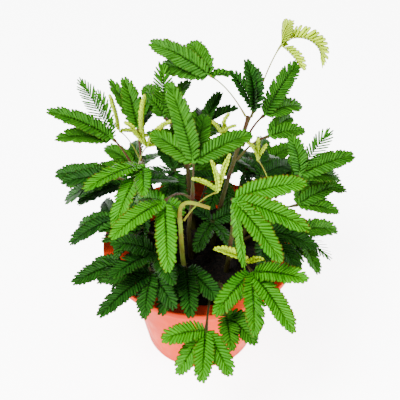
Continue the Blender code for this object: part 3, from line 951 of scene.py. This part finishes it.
@dataclass
class Stem:
    """One stem: a tapering rod with swollen joints and small curved prickles.

    Every size is in millimetres. The knots are the points that the stem's middle line
    passes through, from the soil to the tip, and the joints are where leaf stalks meet it.
    """

    name: str
    knots: tuple[Point, ...]
    root_radius: float = 2.4
    tip_radius: float = 1.5
    root_depth: float = 20.0
    step: float = 22.0
    fine_step: float = 3.5
    swelling: float = 0.5
    swelling_reach: float = 3.0
    prickle_radius: float = 0.55
    prickle_length: float = 2.4
    prickle_hook: Point = (0.7, 0.0, -0.3)
    prickle_sizes: tuple[float, float] = (0.7, 1.1)
    prickle_seat: float = 0.85
    young: bool = False
    joints: list[Vector] = field(default_factory=list)

    def __post_init__(self) -> None:
        """Work out the middle line and its radii, as the part's own solid has them."""
        line = smooth_line([Vector(knot) for knot in self.knots], self.step)
        lean = (line[1] - line[0]).normalized()
        self.line = [line[0] - lean * self.root_depth] + line
        self.radii = self.taper(len(self.line))

    def taper(self, count: int) -> list[float]:
        """Radii that fall evenly from root to tip."""
        return [self.root_radius + (self.tip_radius - self.root_radius) * i / (count - 1)
                for i in range(count)]

    def joint(self, hub: Vector, rise: float) -> tuple[Vector, float, Vector]:
        """Where a leaf's stalk meets the stem.

        Args:
            hub: where the leaf's pinnae meet.
            rise: how far the hub is above the joint.

        Returns:
            The joint, the stem's radius there and its direction.
        """
        best = None
        for index in range(2, len(self.line)):
            for share in (0.0, 0.25, 0.5, 0.75, 1.0):
                point = self.line[index - 1].lerp(self.line[index], share)
                miss = abs(hub.z - rise - point.z) + 0.3 * (hub - point).length
                if best is None or miss < best[0]:
                    best = (miss, point, self.radii[index - 1], index)
        return best[1], best[2], (self.line[best[3]] - self.line[best[3] - 1]).normalized()

    def rod(self) -> tuple[list[Vector], list[float]]:
        """The stem's finer line, swollen a little where a leaf stalk joins.

        Returns:
            The line's points and the radius at each of them.
        """
        fine = [self.line[0]] + smooth_line(self.line[1:], self.fine_step)
        radii = []
        for point, radius in zip(fine, self.taper(len(fine))):
            for joint in self.joints:
                away = (point - joint).length / self.swelling_reach
                radius += self.swelling * math.exp(-away ** 2)
            radii.append(radius * (1.0 + 0.05 * noise.noise(point * 0.2)))
        return fine, radii

    def prickle(self) -> bpy.types.Object:
        """One prickle: a small cone with a hooked point.

        Returns:
            The prickle, standing on the origin.
        """
        Bench.clear()
        bpy.ops.mesh.primitive_cone_add(
            vertices=6, radius1=self.prickle_radius * MM, depth=self.prickle_length * MM,
            location=(0, 0, self.prickle_length * MM / 2))
        cone = bpy.context.object
        bpy.ops.object.transform_apply(location=True)
        bpy.ops.object.mode_set(mode='EDIT')
        bpy.ops.mesh.select_all(action='DESELECT')
        shell = bmesh.from_edit_mesh(cone.data)
        for vertex in shell.verts:
            vertex.select = vertex.co.z > self.prickle_length * MM / 2
        shell.select_flush(True)
        bmesh.update_edit_mesh(cone.data)
        bpy.ops.transform.translate(value=[reach * MM for reach in self.prickle_hook])
        bpy.ops.object.mode_set(mode='OBJECT')
        return cone

    def prickles(self, fine: list[Vector], radii: list[float]) -> bpy.types.Object:
        """Prickles all along the stem, hooked backwards.

        Args:
            fine: the points of the stem's finer line.
            radii: the radius at each of them.

        Returns:
            The piece that holds them all.
        """
        chance = random.Random(self.name)
        places = []
        for index in range(4, len(fine) - 1, 2):
            ahead = (fine[index + 1] - fine[index - 1]).normalized()
            across = ahead.orthogonal().normalized()
            out = Matrix.Rotation(chance.uniform(0, math.tau), 3, ahead) @ across
            turn = Matrix((-ahead, out.cross(-ahead), out)).transposed()
            place = np.array((fine[index] + out * radii[index] * self.prickle_seat) * MM)
            places.append((turn, chance.uniform(*self.prickle_sizes), place))
        return Bench.copies("prickles", self.prickle(), places)

    def build(self, finishes: Finishes) -> None:
        """Make and dress the stem.

        Args:
            finishes: the materials.
        """
        skin = finishes.other(YOUNG_STALK if self.young else StalkFinish())
        fine, radii = self.rod()
        stem = tubes(self.name + "_rod", [(fine, radii)], skin, 5)
        prickles = self.prickles(fine, radii)
        prickles.data.materials.append(skin)
        stem = Bench.join([stem, prickles], self.name + "_rod")
        Bench.hand_over(stem, self.name, "green_stem")


# ---------------------------------------------------------------- leaves


@dataclass
class Leaflet:
    """The one leaflet that every other is copied from: a thin blade of length and width 1.

    The outline gives, for each row across the blade, its place along it and half its width.
    """

    rows: int = 4
    camber: float = 0.03
    rim_rise: float = 1.2
    tip_drop: float = 0.9
    thickness: float = 0.10
    outline: tuple[tuple[float, float], ...] = ((0.0, 0.42), (0.26, 0.50), (0.62, 0.50),
                                                (0.90, 0.43), (1.0, 0.22))

    def model(self) -> bpy.types.Object:
        """Shape the blade's upper face from a grid, row by row.

        Returns:
            The open blade, along x from the origin.
        """
        Bench.clear()
        bpy.ops.mesh.primitive_grid_add(x_subdivisions=self.rows, y_subdivisions=2, size=1.0,
                                        location=(0.5, 0, 0))
        blade = bpy.context.object
        bpy.ops.object.transform_apply(location=True)
        bpy.ops.object.mode_set(mode='EDIT')
        shell = bmesh.from_edit_mesh(blade.data)
        starts = [row / self.rows for row in range(self.rows + 1)]
        rows = [[v.index for v in shell.verts if abs(v.co.x - start) < 0.01]
                for start in starts]
        for row, start, (place, half) in zip(rows, starts, self.outline):
            bpy.ops.mesh.select_all(action='DESELECT')
            shell.verts.ensure_lookup_table()
            for index in row:
                shell.verts[index].select = True
            shell.select_flush(True)
            bmesh.update_edit_mesh(blade.data)
            bpy.ops.transform.resize(value=(1.0, half * 2, 1.0), center_override=(start, 0, 0))
            bpy.ops.transform.translate(value=(place - start, 0, 0))
            shell = bmesh.from_edit_mesh(blade.data)
        bpy.ops.object.mode_set(mode='OBJECT')
        for vertex in blade.data.vertices:
            x, y = vertex.co.x, vertex.co.y
            vertex.co.z = self.camber * (abs(y) * self.rim_rise - self.tip_drop * x * x)
        return blade

    def arrays(self) -> Pattern:
        """The leaflet as arrays, its blade doubled and closed along its rim.

        Returns:
            Points, faces, whether each face is on the underside, and the leaflet
            coordinates of each point (along, across).
        """
        top, quads = Bench.take_apart(self.model())
        middle = [i for i, p in enumerate(top) if abs(p[1]) < 1e-6 and 0.01 < p[0] < 0.99]
        under = {i: len(top) + k for k, i in enumerate(middle)}
        points = np.concatenate([top, top[middle] - np.array((0, 0, self.thickness))])
        lower = [tuple(under.get(i, i) for i in reversed(quad)) for quad in quads]
        faces = np.array(quads + lower)
        side = np.array([False] * len(quads) + [True] * len(lower))
        half = np.interp(points[:, 0], *zip(*self.outline))
        across = 0.5 + 0.5 * np.clip(points[:, 1] / np.maximum(half, 1e-6), -1, 1)
        return points, faces, side, np.stack([points[:, 0], across], axis=1)


@dataclass(frozen=True)
class Pinna:
    """One feather of a leaf: where it points, in degrees, and its length in millimetres.

    It rolls about its own length, droops towards its tip, and may have a twist of its own
    for its leaflets.
    """

    heading: float
    pitch: float
    length: float
    roll: float = 0.0
    droop: float = 26.0
    twist: float | None = None

    OUTWARD = (0.6, 0.3)
    TO_LIGHT = 0.3

    def frames(self, hub: Vector, shares: np.ndarray) -> tuple[np.ndarray, ...]:
        """Places and directions along the pinna's rib.

        Args:
            hub: where the pinna starts, in millimetres.
            shares: how far along the rib each place is, 0 to 1.

        Returns:
            Arrays of places, directions ahead, directions of the upper face, and
            directions to the side.
        """
        bend = math.radians(self.droop)
        start = math.radians(self.pitch) + bend / 2
        heading = np.array((math.cos(math.radians(self.heading)),
                            math.sin(math.radians(self.heading)), 0.0))
        pitch = start - bend * shares
        level = (np.sin(start) - np.sin(pitch)) / bend * self.length
        lift = (np.cos(pitch) - np.cos(start)) / bend * self.length
        up = np.array(UP)
        places = np.array(hub) + level[:, None] * heading + lift[:, None] * up
        ahead = np.cos(pitch)[:, None] * heading + np.sin(pitch)[:, None] * up
        outward = Vector((hub.x, hub.y, 0)).normalized()
        facing = np.array(Vector((self.OUTWARD[0] * outward.x,
                                  self.OUTWARD[1] * outward.y - self.TO_LIGHT, 1)).normalized())
        normal = facing - ahead * (ahead @ facing)[:, None]
        normal /= np.linalg.norm(normal, axis=1)[:, None]
        aside = np.cross(ahead, normal)
        roll = math.radians(self.roll)
        return (places, ahead, normal * math.cos(roll) + aside * math.sin(roll),
                aside * math.cos(roll) - normal * math.sin(roll))


def fan(heading: float, pitch: float, length: float) -> tuple[tuple[float, ...], ...]:
    """Four pinnae fanned about a heading; the outer two are lower and shorter.

    Args:
        heading: where the middle of the fan points, in degrees.
        pitch: how far the inner two are raised, in degrees.
        length: how long the inner two are, in millimetres.

    Returns:
        The heading, pitch and length of each.
    """
    return tuple((heading + turn, pitch - drop, length * share)
                 for turn, drop, share in ((-60.0, 8, 0.86), (-20.0, 0, 1), (20.0, 0, 1),
                                           (60.0, 8, 0.86)))


@dataclass
class Leaf:
    """A compound leaf: stalk, hub, and pinnae with paired leaflets.

    Every size is in millimetres. The hub is where the pinnae meet, and the rise is how far
    it stands above its joint on the stem. Leaflets are shorter on a pinna that is shorter
    than full_pinna. Past a twist of turned_from degrees they grow narrower, because they are
    seen on edge, down to the narrowest share of their width.
    """

    name: str
    stem: Stem
    hub: Vector
    rise: float
    stand: Stand
    tone: Tone
    pinnae: list[Pinna]
    pale_stalk: bool = False
    thin: float = 0.62
    stalk_radius: float = 1.05
    stalk_arch: float = 0.12
    stalk_pieces: int = 14
    seat: float = 1.1
    rib_radius: float = 0.5
    rib_sink: float = 0.5
    gap: float = 0.3
    leaflet_length: float = 12.0
    leaflet_width: float = 3.5
    leaflet_root: float = 0.03
    pitch_of_pairs: float = 2.5
    first_pair: float = 0.06
    last_pair: float = 0.96
    full_pinna: float = 40.0
    turned_from: float = 20.0
    turned_range: float = 45.0
    narrowest: float = 0.5

    def __post_init__(self) -> None:
        """Work out the stalk's middle line, as the part's own solid has it."""
        joint, radius, along = self.stem.joint(self.hub, self.rise)
        aside = self.hub - joint
        aside = aside - along * aside.dot(along)
        if aside.length < radius * 2:
            aside = Vector((0, -1, 0))
        aside.normalize()
        slant = (self.hub - joint).normalized().dot(aside)
        start = joint + aside * (radius + self.gap + self.seat * math.sqrt(1 - slant ** 2))
        ahead = self.hub - start
        arch = Vector(UP) * ahead.length * self.stalk_arch
        self.shares = [i / self.stalk_pieces for i in range(self.stalk_pieces + 1)]
        self.stalk = [start + ahead * t + arch * 4 * t * (1 - t) for t in self.shares]
        self.stem.joints.append(joint)

    def rods(self, finishes: Finishes) -> bpy.types.Object:
        """The stalk, the swelling at each of its ends, and the pinnae's green ribs.

        Args:
            finishes: the materials.

        Returns:
            The piece that holds them all.
        """
        skin = finishes.other(YOUNG_STALK if self.pale_stalk else StalkFinish())
        scale = self.thin if self.pale_stalk else 1.0
        light, dark = Finishes.TOPS[self.tone][:2]
        green = StalkFinish(f"rib_{self.tone.value}", light, dark, light)
        radii = []
        for t in self.shares:
            swell = 0.55 * math.exp(-(t * 7) ** 2) + 0.8 * math.exp(-((1 - t) * 9) ** 2)
            radii.append(self.stalk_radius * scale * (1.0 - 0.2 * t + swell))
        stalk = tubes(self.name + "_stalk", [(self.stalk, radii)], skin, 3)
        runs = []
        shares = np.linspace(0.0, 1.0, 12)
        for pinna in self.pinnae:
            places, _, normal, _ = pinna.frames(self.hub, shares)
            places = places - normal * (self.rib_sink * np.minimum(1, shares * 8))[:, None]
            radii = [self.rib_radius * scale * (1.25 * math.exp(-(s * 14) ** 2) + 1.0 - 0.6 * s)
                     for s in shares]
            runs.append(([Vector(place) for place in places], radii))
        ribs = tubes(self.name + "_ribs", runs, finishes.other(green), 3)
        return Bench.join([stalk, ribs], self.name + "_rods")

    def sizes(self, pinna: Pinna, part: np.ndarray, twist: float
              ) -> tuple[np.ndarray, np.ndarray]:
        """Length and width of a pinna's leaflets.

        They are smaller at both ends of the rib and on a short pinna, and narrower where
        they are turned on edge.

        Args:
            pinna: the pinna.
            part: how far along the row each leaflet is, 0 to 1.
            twist: the leaflets' turn about their own length, in radians.

        Returns:
            The lengths and the widths, in millimetres.
        """
        size = np.interp(part, (0, 0.12, 0.4, 0.85, 1.0), (0.60, 0.86, 1.0, 0.96, 0.78))
        length = self.leaflet_length * self.stand.share * size
        length = length * min(1.0, pinna.length / self.full_pinna) ** 0.6
        width = self.leaflet_width * np.interp(part, (0, 0.5, 1), (0.92, 1, 0.85))
        turned = max(0.0, math.degrees(abs(twist)) - self.turned_from) / self.turned_range
        return length, width * max(self.narrowest, 1.0 - turned)

    def row(self, pinna: Pinna, shape: np.ndarray, chance: np.random.Generator
            ) -> list[Blades]:
        """The leaflets of one pinna, a row on each side of its rib.

        Args:
            pinna: the pinna.
            shape: the points of the one leaflet.
            chance: the leaf's own random numbers.

        Returns:
            For each side, the points of its leaflets, and each leaflet's tone and rust.
        """
        pairs = max(6, round(pinna.length * 0.9 / self.pitch_of_pairs))
        shares = np.linspace(self.first_pair, self.last_pair, pairs)
        places, ahead, normal, aside = pinna.frames(self.hub, shares)
        part = np.linspace(0.0, 1.0, pairs)
        lean = np.radians(np.interp(part, (0, 0.5, 0.8, 1.0), (60, 50, 38, 12)))
        lean = lean * self.stand.lean
        twist = self.stand.twist if pinna.twist is None else math.radians(pinna.twist)
        base_length, width = self.sizes(pinna, part, twist)
        base_tone = chance.normal(0.5, 0.12)
        browned = chance.choice((1.0, -1.0))
        rows = []
        for way in (1.0, -1.0):
            fold = self.stand.fold + chance.normal(0, 0.05, pairs)
            angle = lean + chance.normal(0, 0.035, pairs)
            lifted = aside * way * np.cos(fold)[:, None] + normal * np.sin(fold)[:, None]
            along = ahead * np.cos(angle)[:, None] + lifted * np.sin(angle)[:, None]
            face = normal * np.cos(fold)[:, None] - aside * way * np.sin(fold)[:, None]
            tilt = chance.normal(0, 0.06, pairs) - twist
            turned = (face * np.cos(tilt)[:, None] + ahead * np.sin(tilt)[:, None])
            turned -= along * np.sum(turned * along, axis=1)[:, None]
            turned /= np.linalg.norm(turned, axis=1)[:, None]
            across = np.cross(turned, along)
            length = base_length * (1 + chance.normal(0, 0.03, pairs))
            axes = ((along, shape[:, 0] - self.leaflet_root, length),
                    (across, shape[:, 1], width), (turned, shape[:, 2], width))
            local = sum(axis[:, None, :] * (reach[None, :] * size[:, None])[..., None]
                        for axis, reach, size in axes)
            tone = np.clip(base_tone + chance.normal(0, 0.12, pairs) + 0.15 * (part - 0.4),
                           0, 1)
            rust = np.clip(chance.normal(0.85 if way == browned else 0.3, 0.25, pairs), 0, 1)
            rows.append(((places[:, None, :] + local).reshape(-1, 3), tone, rust))
        return rows

    def leaflets(self, pattern: Pattern) -> bpy.types.Object:
        """Every leaflet of the leaf, placed in pairs along the ribs.

        Args:
            pattern: the arrays of the one leaflet.

        Returns:
            The piece that holds them all.
        """
        shape, faces, under, coordinates = pattern
        chance = np.random.default_rng(sum(ord(letter) for letter in self.name))
        rows = [row for pinna in self.pinnae for row in self.row(pinna, shape, chance)]
        points, tones, rusts = (np.concatenate(values) for values in zip(*rows))
        count = len(tones)
        polygons = (faces[None] + np.arange(count)[:, None, None] * len(shape)).reshape(-1, 4)
        piece = Bench.from_arrays(self.name, points * MM, polygons.tolist())
        mesh = piece.data
        corners = np.zeros(len(mesh.loops), dtype=np.int32)
        mesh.loops.foreach_get("vertex_index", corners)
        spread = np.tile(coordinates, (count, 1))[corners].astype(np.float32)
        mesh.uv_layers.new(name="leaflet").data.foreach_set("uv", spread.ravel())
        for title, values in (("tone", tones), ("rust", rusts)):
            attribute = mesh.attributes.new(title, 'FLOAT', 'POINT')
            attribute.data.foreach_set("value",
                                       np.repeat(values, len(shape)).astype(np.float32))
        mesh.polygons.foreach_set("material_index", np.tile(under, count).astype(np.int32))
        mesh.polygons.foreach_set("use_smooth", np.ones(len(mesh.polygons), dtype=bool))
        return piece

    def build(self, finishes: Finishes, pattern: Pattern) -> None:
        """Make and dress the leaf.

        Args:
            finishes: the materials.
            pattern: the arrays of the one leaflet.
        """
        blades = self.leaflets(pattern)
        for under in (False, True):
            blades.data.materials.append(finishes.leaf(self.tone, under))
        leaf = Bench.join([blades, self.rods(finishes)], self.name.replace("leaf", "frond"))
        slot = "young_leaf" if self.tone is Tone.YELLOW else "green_leaf"
        Bench.hand_over(leaf, self.name, slot)


# ---------------------------------------------------------------- the plant


@dataclass
class Plant:
    """All the stems and leaves, placed in millimetres from the pot's underside."""

    finishes: Finishes

    # Each stem's knots, from the soil up
    STEMS = {
        "stem_tall": ((12, 10, 108), (20, 15, 160), (33, 20, 215), (41, 22, 248)),
        "stem_middle": ((-8, -8, 108), (-10, -12, 150), (-7, -18, 185), (-6, -20, 204)),
        "stem_left": ((-30, 9, 108), (-40, 10, 150), (-50, 8, 185), (-56, 10, 203)),
        "stem_back": ((-6, 32, 108), (-10, 38, 155), (-13, 42, 195), (-14, 42, 208)),
        "stem_right": ((33, 5, 108), (48, 5, 145), (60, 4, 168), (66, 3, 178)),
        "stem_front": ((24, -25, 108), (26, -38, 150), (27, -50, 185), (27, -56, 203)),
        "stem_trailing": ((10, -45, 108), (17, -62, 131), (20, -80, 138), (19, -94, 135)),
        "stem_low_left": ((-31, -31, 108), (-37, -42, 126), (-44, -52, 138)),
        "stem_back_right": ((28, 41, 108), (40, 52, 148), (48, 58, 175)),
        "stem_back_left": ((-34, 42, 108), (-48, 55, 145), (-55, 62, 170)),
        "stem_arching": ((-12, -42, 108), (-15, -48, 150), (-16, -51, 185), (-16, -54, 211),
                         (-9, -57, 221), (8, -60, 218)),
    }

    YOUNG_STEMS = ("stem_arching",)
    PALE_STALKS = ("leaf_high_left", "leaf_high_young", "leaf_centre_young", "leaf_yellow_left",
                   "leaf_yellow_back", "leaf_yellow_right", "leaf_yellow_far")

    # Each leaf's stem, hub, rise, stand, tone and pinnae
    LEAVES = {
        "leaf_high_left": (
            "stem_tall", (8, 30, 284), 32, Stand.OPEN, Tone.FRESH,
            ((150, 15, 54, -55), (145, -10, 46, -60), (112, 10, 40, -30), (25, -10, 20))),
        "leaf_high_young": (
            "stem_tall", (65, 28, 314), 32, Stand.HALF, Tone.YELLOW,
            ((-60, 70, 24, 40), (-12, -15, 46, 0, 150), (-50, -20, 24))),
        "leaf_high_upright": (
            "stem_tall", (45, 18, 257), 32, Stand.HALF, Tone.DEEP,
            ((150, 80, 42, -50), (155, 58, 34, -40, 26, 26), (80, 80, 32))),
        "leaf_high_right": (
            "stem_tall", (54, 20, 251), 32, Stand.OPEN, Tone.FRESH,
            ((55, 25, 55, 0, 26, 34), (40, -10, 40), (60, -10, 40))),
        "leaf_high_low": (
            "stem_tall", (58, 8, 238), 32, Stand.OPEN, Tone.FRESH,
            ((25, -5, 30), (55, 0, 32))),
        "leaf_far_left": (
            "stem_left", (-75, 20, 226), 32, Stand.OPEN, Tone.FRESH,
            ((130, 40, 55, 0, 26, 45), (125, 62, 39, 0, 26, 45), (-180, 30, 56), (170, -5, 47))),
        "leaf_back_left_top": (
            "stem_left", (-55, 40, 222), 32, Stand.OPEN, Tone.FRESH,
            ((130, 40, 45, 50), (120, 62, 41, 50), (40, 60, 37), (60, 15, 44))),
        "leaf_yellow_left": (
            "stem_left", (-44, -5, 237), 32, Stand.YOUNG, Tone.YELLOW,
            ((40, 90, 49), (-160, 60, 32), (-10, 55, 33), (30, -20, 30))),
        "leaf_back_fan": (
            "stem_back", (-31, 35, 238), 32, Stand.OPEN, Tone.FRESH,
            ((95, 75, 44, 40, 26, 34), (115, 10, 39), (60, 20, 39), (-180, 60, 24))),
        "leaf_centre_tall": (
            "stem_middle", (-5, -39, 247), 32, Stand.OPEN, Tone.FRESH,
            ((120, 55, 61), (80, 10, 50), (30, 10, 49), (140, 10, 41))),
        "leaf_right_top": (
            "stem_right", (86, 0, 202), 28, Stand.OPEN, Tone.FRESH,
            ((150, 75, 35, -45), (35, 50, 42, 0, 26, 40), (20, 10, 47), (30, -25, 47, 0, 26, 36))),
        "leaf_broad_right": (
            "stem_front", (25, -75, 240), 32, Stand.OPEN, Tone.BRIGHT,
            ((15, 5, 54), (-20, -10, 57), (-52, -20, 56), (-70, -60, 50, 80))),
        "leaf_broad_left": (
            "stem_middle", (-28, -60, 225), 32, Stand.OPEN, Tone.BRIGHT,
            ((-130, 5, 55), (-86, -25, 53), (40, -55, 26), (140, -25, 31))),
        "leaf_left_front": (
            "stem_left", (-46, -34, 241), 44, Stand.OPEN, Tone.BRIGHT,
            ((-135, 10, 54), (-110, -15, 55), (-85, 5, 35))),
        "leaf_left_dark": (
            "stem_left", (-74, -10, 207), 32, Stand.OPEN, Tone.DEEP,
            ((160, -10, 52), (170, -35, 52), (-170, 5, 38))),
        "leaf_left_low": (
            "stem_low_left", (-76, -18, 167), 32, Stand.OPEN, Tone.DEEP,
            ((-160, -20, 38), (165, -25, 33), (110, -10, 30))),
        "leaf_rim_left": (
            "stem_low_left", (-68, -45, 140), 28, Stand.OPEN, Tone.DEEP,
            ((165, -20, 28), (-150, 0, 41), (-120, 10, 29), (-90, 0, 36))),
        "leaf_low_left": (
            "stem_low_left", (-41, -70, 154), 32, Stand.OPEN, Tone.DEEP,
            ((-130, 0, 56), (-160, 8, 36), (-95, -5, 40), (-60, -5, 36))),
        "leaf_low_left_upper": (
            "stem_low_left", (-37, -60, 167), 32, Stand.OPEN, Tone.DEEP,
            ((-130, 15, 50), (-70, 15, 45), (-150, 40, 45))),
        "leaf_low_front": (
            "stem_low_left", (-12, -60, 149), 32, Stand.OPEN, Tone.DEEP,
            ((-85, 0, 48), (-115, -10, 43), (-55, 5, 44), (-145, -5, 35))),
        "leaf_front_right": (
            "stem_front", (42, -88, 173), 32, Stand.OPEN, Tone.BRIGHT,
            ((-125, 0, 48), (-90, -10, 52), (-60, -10, 56), (-35, 25, 48))),
        "leaf_front_young": (
            "stem_front", (39, -82, 179), 32, Stand.BUD, Tone.YELLOW,
            ((-180, 30, 27), (-15, 30, 11))),
        "leaf_trailing": (
            "stem_trailing", (5, -114, 132), 20, Stand.OPEN, Tone.BRIGHT,
            ((-150, 20, 37), (-130, -30, 36), (-95, -15, 38), (-60, -20, 36))),
        "leaf_trailing_side": (
            "stem_trailing", (21, -108, 145), 28, Stand.OPEN, Tone.FRESH,
            ((-55, 5, 34), (-85, 10, 36), (-20, -5, 26))),
        "leaf_centre_young": (
            "stem_arching", (14, -59, 234), 36, Stand.YOUNG, Tone.YELLOW,
            ((135, 75, 26), (50, 65, 30), (-170, 40, 24))),
        "leaf_right_middle": (
            "stem_right", (88, 5, 163), 32, Stand.OPEN, Tone.FRESH,
            ((0, -10, 33), (30, 10, 34), (75, 20, 32))),
        "leaf_right_low": (
            "stem_right", (85, -20, 155), 32, Stand.OPEN, Tone.FRESH,
            ((20, -15, 38), (-40, -15, 34, 0, 26, 50), (-65, -20, 38), (-95, -10, 37))),
        "leaf_back_small": (
            "stem_back", (4, 60, 212), 32, Stand.HALF, Tone.DEEP,
            ((60, 30, 30), (30, 10, 31), (95, -10, 30), (0, -35, 28))),
        "leaf_yellow_back": (
            "stem_back", (19, 40, 215), 32, Stand.YOUNG, Tone.YELLOW,
            ((-150, 60, 23), (10, 75, 22), (-40, 50, 22))),
        "leaf_yellow_right": (
            "stem_right", (49, 0, 219), 32, Stand.YOUNG, Tone.YELLOW,
            ((-150, 65, 24), (60, 95, 22), (-40, 70, 20))),
        "leaf_right_inner": (
            "stem_right", (56, 25, 181), 32, Stand.OPEN, Tone.DEEP,
            ((45, -15, 40), (90, 5, 38), (-100, -10, 38), (130, 0, 34))),
        "leaf_back_low_left": (
            "stem_back_left", (-66, 88, 139), 28, Stand.OPEN, Tone.FRESH,
            fan(110, -2, 44)),
        "leaf_back_side_left": (
            "stem_back_left", (-85, 48, 157), 32, Stand.OPEN, Tone.FRESH,
            fan(155, -12, 38)),
        "leaf_back_high": (
            "stem_back", (-12, 80, 177), 32, Stand.OPEN, Tone.FRESH,
            fan(95, 5, 46)),
        "leaf_back_low": (
            "stem_back", (16, 90, 142), 28, Stand.OPEN, Tone.FRESH,
            ((35, -10, 38), (85, -8, 44), (175, -8, 42), (-150, -12, 34))),
        "leaf_back_right": (
            "stem_back_right", (61, 84, 144), 32, Stand.OPEN, Tone.FRESH,
            fan(65, 0, 44)),
        "leaf_back_side_right": (
            "stem_back_right", (94, 48, 149), 32, Stand.OPEN, Tone.FRESH,
            fan(20, -5, 40)),
        "leaf_inner_right": (
            "stem_right", (55, -35, 170), 32, Stand.OPEN, Tone.DEEP,
            fan(-35, -10, 42)),
        "leaf_inner_left": (
            "stem_left", (-62, -20, 150), 32, Stand.OPEN, Tone.DEEP,
            ((140, -10, 33), (-140, 20, 26), (-110, 0, 26), (-60, -15, 26))),
        "leaf_inner_front": (
            "stem_middle", (11, 0, 147), 32, Stand.OPEN, Tone.DEEP,
            ((-60, -5, 32), (-115, -5, 32), (150, 22, 36), (25, 5, 38))),
        "leaf_inner_back": (
            "stem_back", (22, 58, 152), 32, Stand.OPEN, Tone.DEEP,
            ((-110, -8, 38), (-80, -25, 36), (180, -8, 42), (60, 0, 42))),
        "leaf_side_left": (
            "stem_left", (-64, 12, 183), 32, Stand.OPEN, Tone.DEEP,
            ((25, -15, 44), (150, -10, 42), (-160, -10, 42), (-65, -30, 42))),
        "leaf_yellow_far": (
            "stem_back_left", (-73, 52, 211), 32, Stand.YOUNG, Tone.YELLOW,
            ((150, 80, 35), (100, -20, 30), (30, -30, 30))),
        "leaf_behind_middle": (
            "stem_back", (-24, 60, 159), 32, Stand.OPEN, Tone.DEEP,
            ((-108, -28, 40), (-155, 5, 42), (-80, -20, 38), (110, 5, 44))),
        "leaf_behind_right": (
            "stem_back_right", (41, 50, 162), 24, Stand.OPEN, Tone.DEEP,
            ((-20, 5, 38), (10, -10, 42), (105, 10, 44), (-75, -15, 36))),
        "leaf_right_back": (
            "stem_back_right", (81, 42, 166), 32, Stand.OPEN, Tone.FRESH,
            ((-30, -3, 34), (17, 5, 40), (63, 0, 40), (110, -3, 34))),
        "leaf_left_inner": (
            "stem_low_left", (-50, -28, 166), 28, Stand.HALF, Tone.DEEP,
            ((140, -10, 32), (-170, 5, 32), (-125, -5, 32), (-80, -15, 33))),
    }

    def build(self) -> None:
        """Make every stem and leaf."""
        stems = {name: Stem(name, knots, young=name in self.YOUNG_STEMS)
                 for name, knots in self.STEMS.items()}
        pattern = Leaflet().arrays()
        leaves = []
        for name, (stem, hub, rise, stand, tone, pinnae) in self.LEAVES.items():
            leaves.append(Leaf(name, stems[stem], Vector(hub), rise, stand, tone,
                               [Pinna(*pinna) for pinna in pinnae],
                               pale_stalk=name in self.PALE_STALKS))
        for leaf in leaves:
            leaf.build(self.finishes, pattern)
        for stem in stems.values():
            stem.build(self.finishes)


# ---------------------------------------------------------------- studio


@dataclass
class Studio:
    """Floor, lights and camera, none of them part of the object, in metres."""

    finishes: Finishes
    camera_place: Point = (0.0, -0.537, 0.647)
    camera_dip: float = 41.4
    lens: float = 72.45
    sensor: float = 36.0
    aim_height: float = 0.17
    room_light: float = 0.4
    floor_size: float = 12.0
    floor_gap: float = 0.0005

    def floor(self) -> None:
        """A wide, flat, pale floor, a hair below the pot."""
        Bench.clear()
        bpy.ops.mesh.primitive_plane_add(size=self.floor_size, location=(0, 0, -self.floor_gap))
        floor = bpy.context.object
        floor.name = "studio_floor"
        floor.data.materials.append(self.finishes.other(FloorFinish()))

    def light(self, name: str, place: Point, size: float, power: float) -> None:
        """A soft square light aimed at the plant.

        Args:
            name: the light's name.
            place: where it stands, in metres.
            size: its width in metres.
            power: its power in watts.
        """
        Bench.clear()
        bpy.ops.object.light_add(type='AREA', location=place)
        lamp = bpy.context.object
        lamp.name = name
        lamp.data.size = size
        lamp.data.energy = power
        aim = Vector((0, 0, self.aim_height)) - Vector(place)
        lamp.rotation_euler = aim.to_track_quat('-Z', 'Y').to_euler()

    def build(self) -> None:
        """Set up the whole studio."""
        self.floor()
        self.light("key_light", (-0.5, -0.7, 1.6), 0.6, 112.0)
        self.light("fill_light", (1.3, -0.5, 1.1), 1.2, 22.0)
        world = bpy.data.worlds.new("soft_room")
        bpy.context.scene.world = world
        world.use_nodes = True
        sky = world.node_tree.nodes["Background"]
        sky.inputs["Color"].default_value = (1, 1, 1, 1)
        sky.inputs["Strength"].default_value = self.room_light
        Bench.clear()
        bpy.ops.object.camera_add(location=self.camera_place,
                                  rotation=(math.radians(90 - self.camera_dip), 0, 0))
        camera = bpy.context.object
        camera.data.lens = self.lens
        camera.data.sensor_width = self.sensor
        camera.data.dof.use_dof = False
        bpy.context.scene.camera = camera


def main() -> None:
    """Build the whole scene in order."""
    logging.basicConfig(level=logging.INFO, format="%(message)s")
    finishes = Finishes()
    pot = Pot(finishes)
    pot.build()
    Soil(finishes, pot).build()
    Plant(finishes).build()
    Studio(finishes).build()


if __name__ == "__main__":
    main()
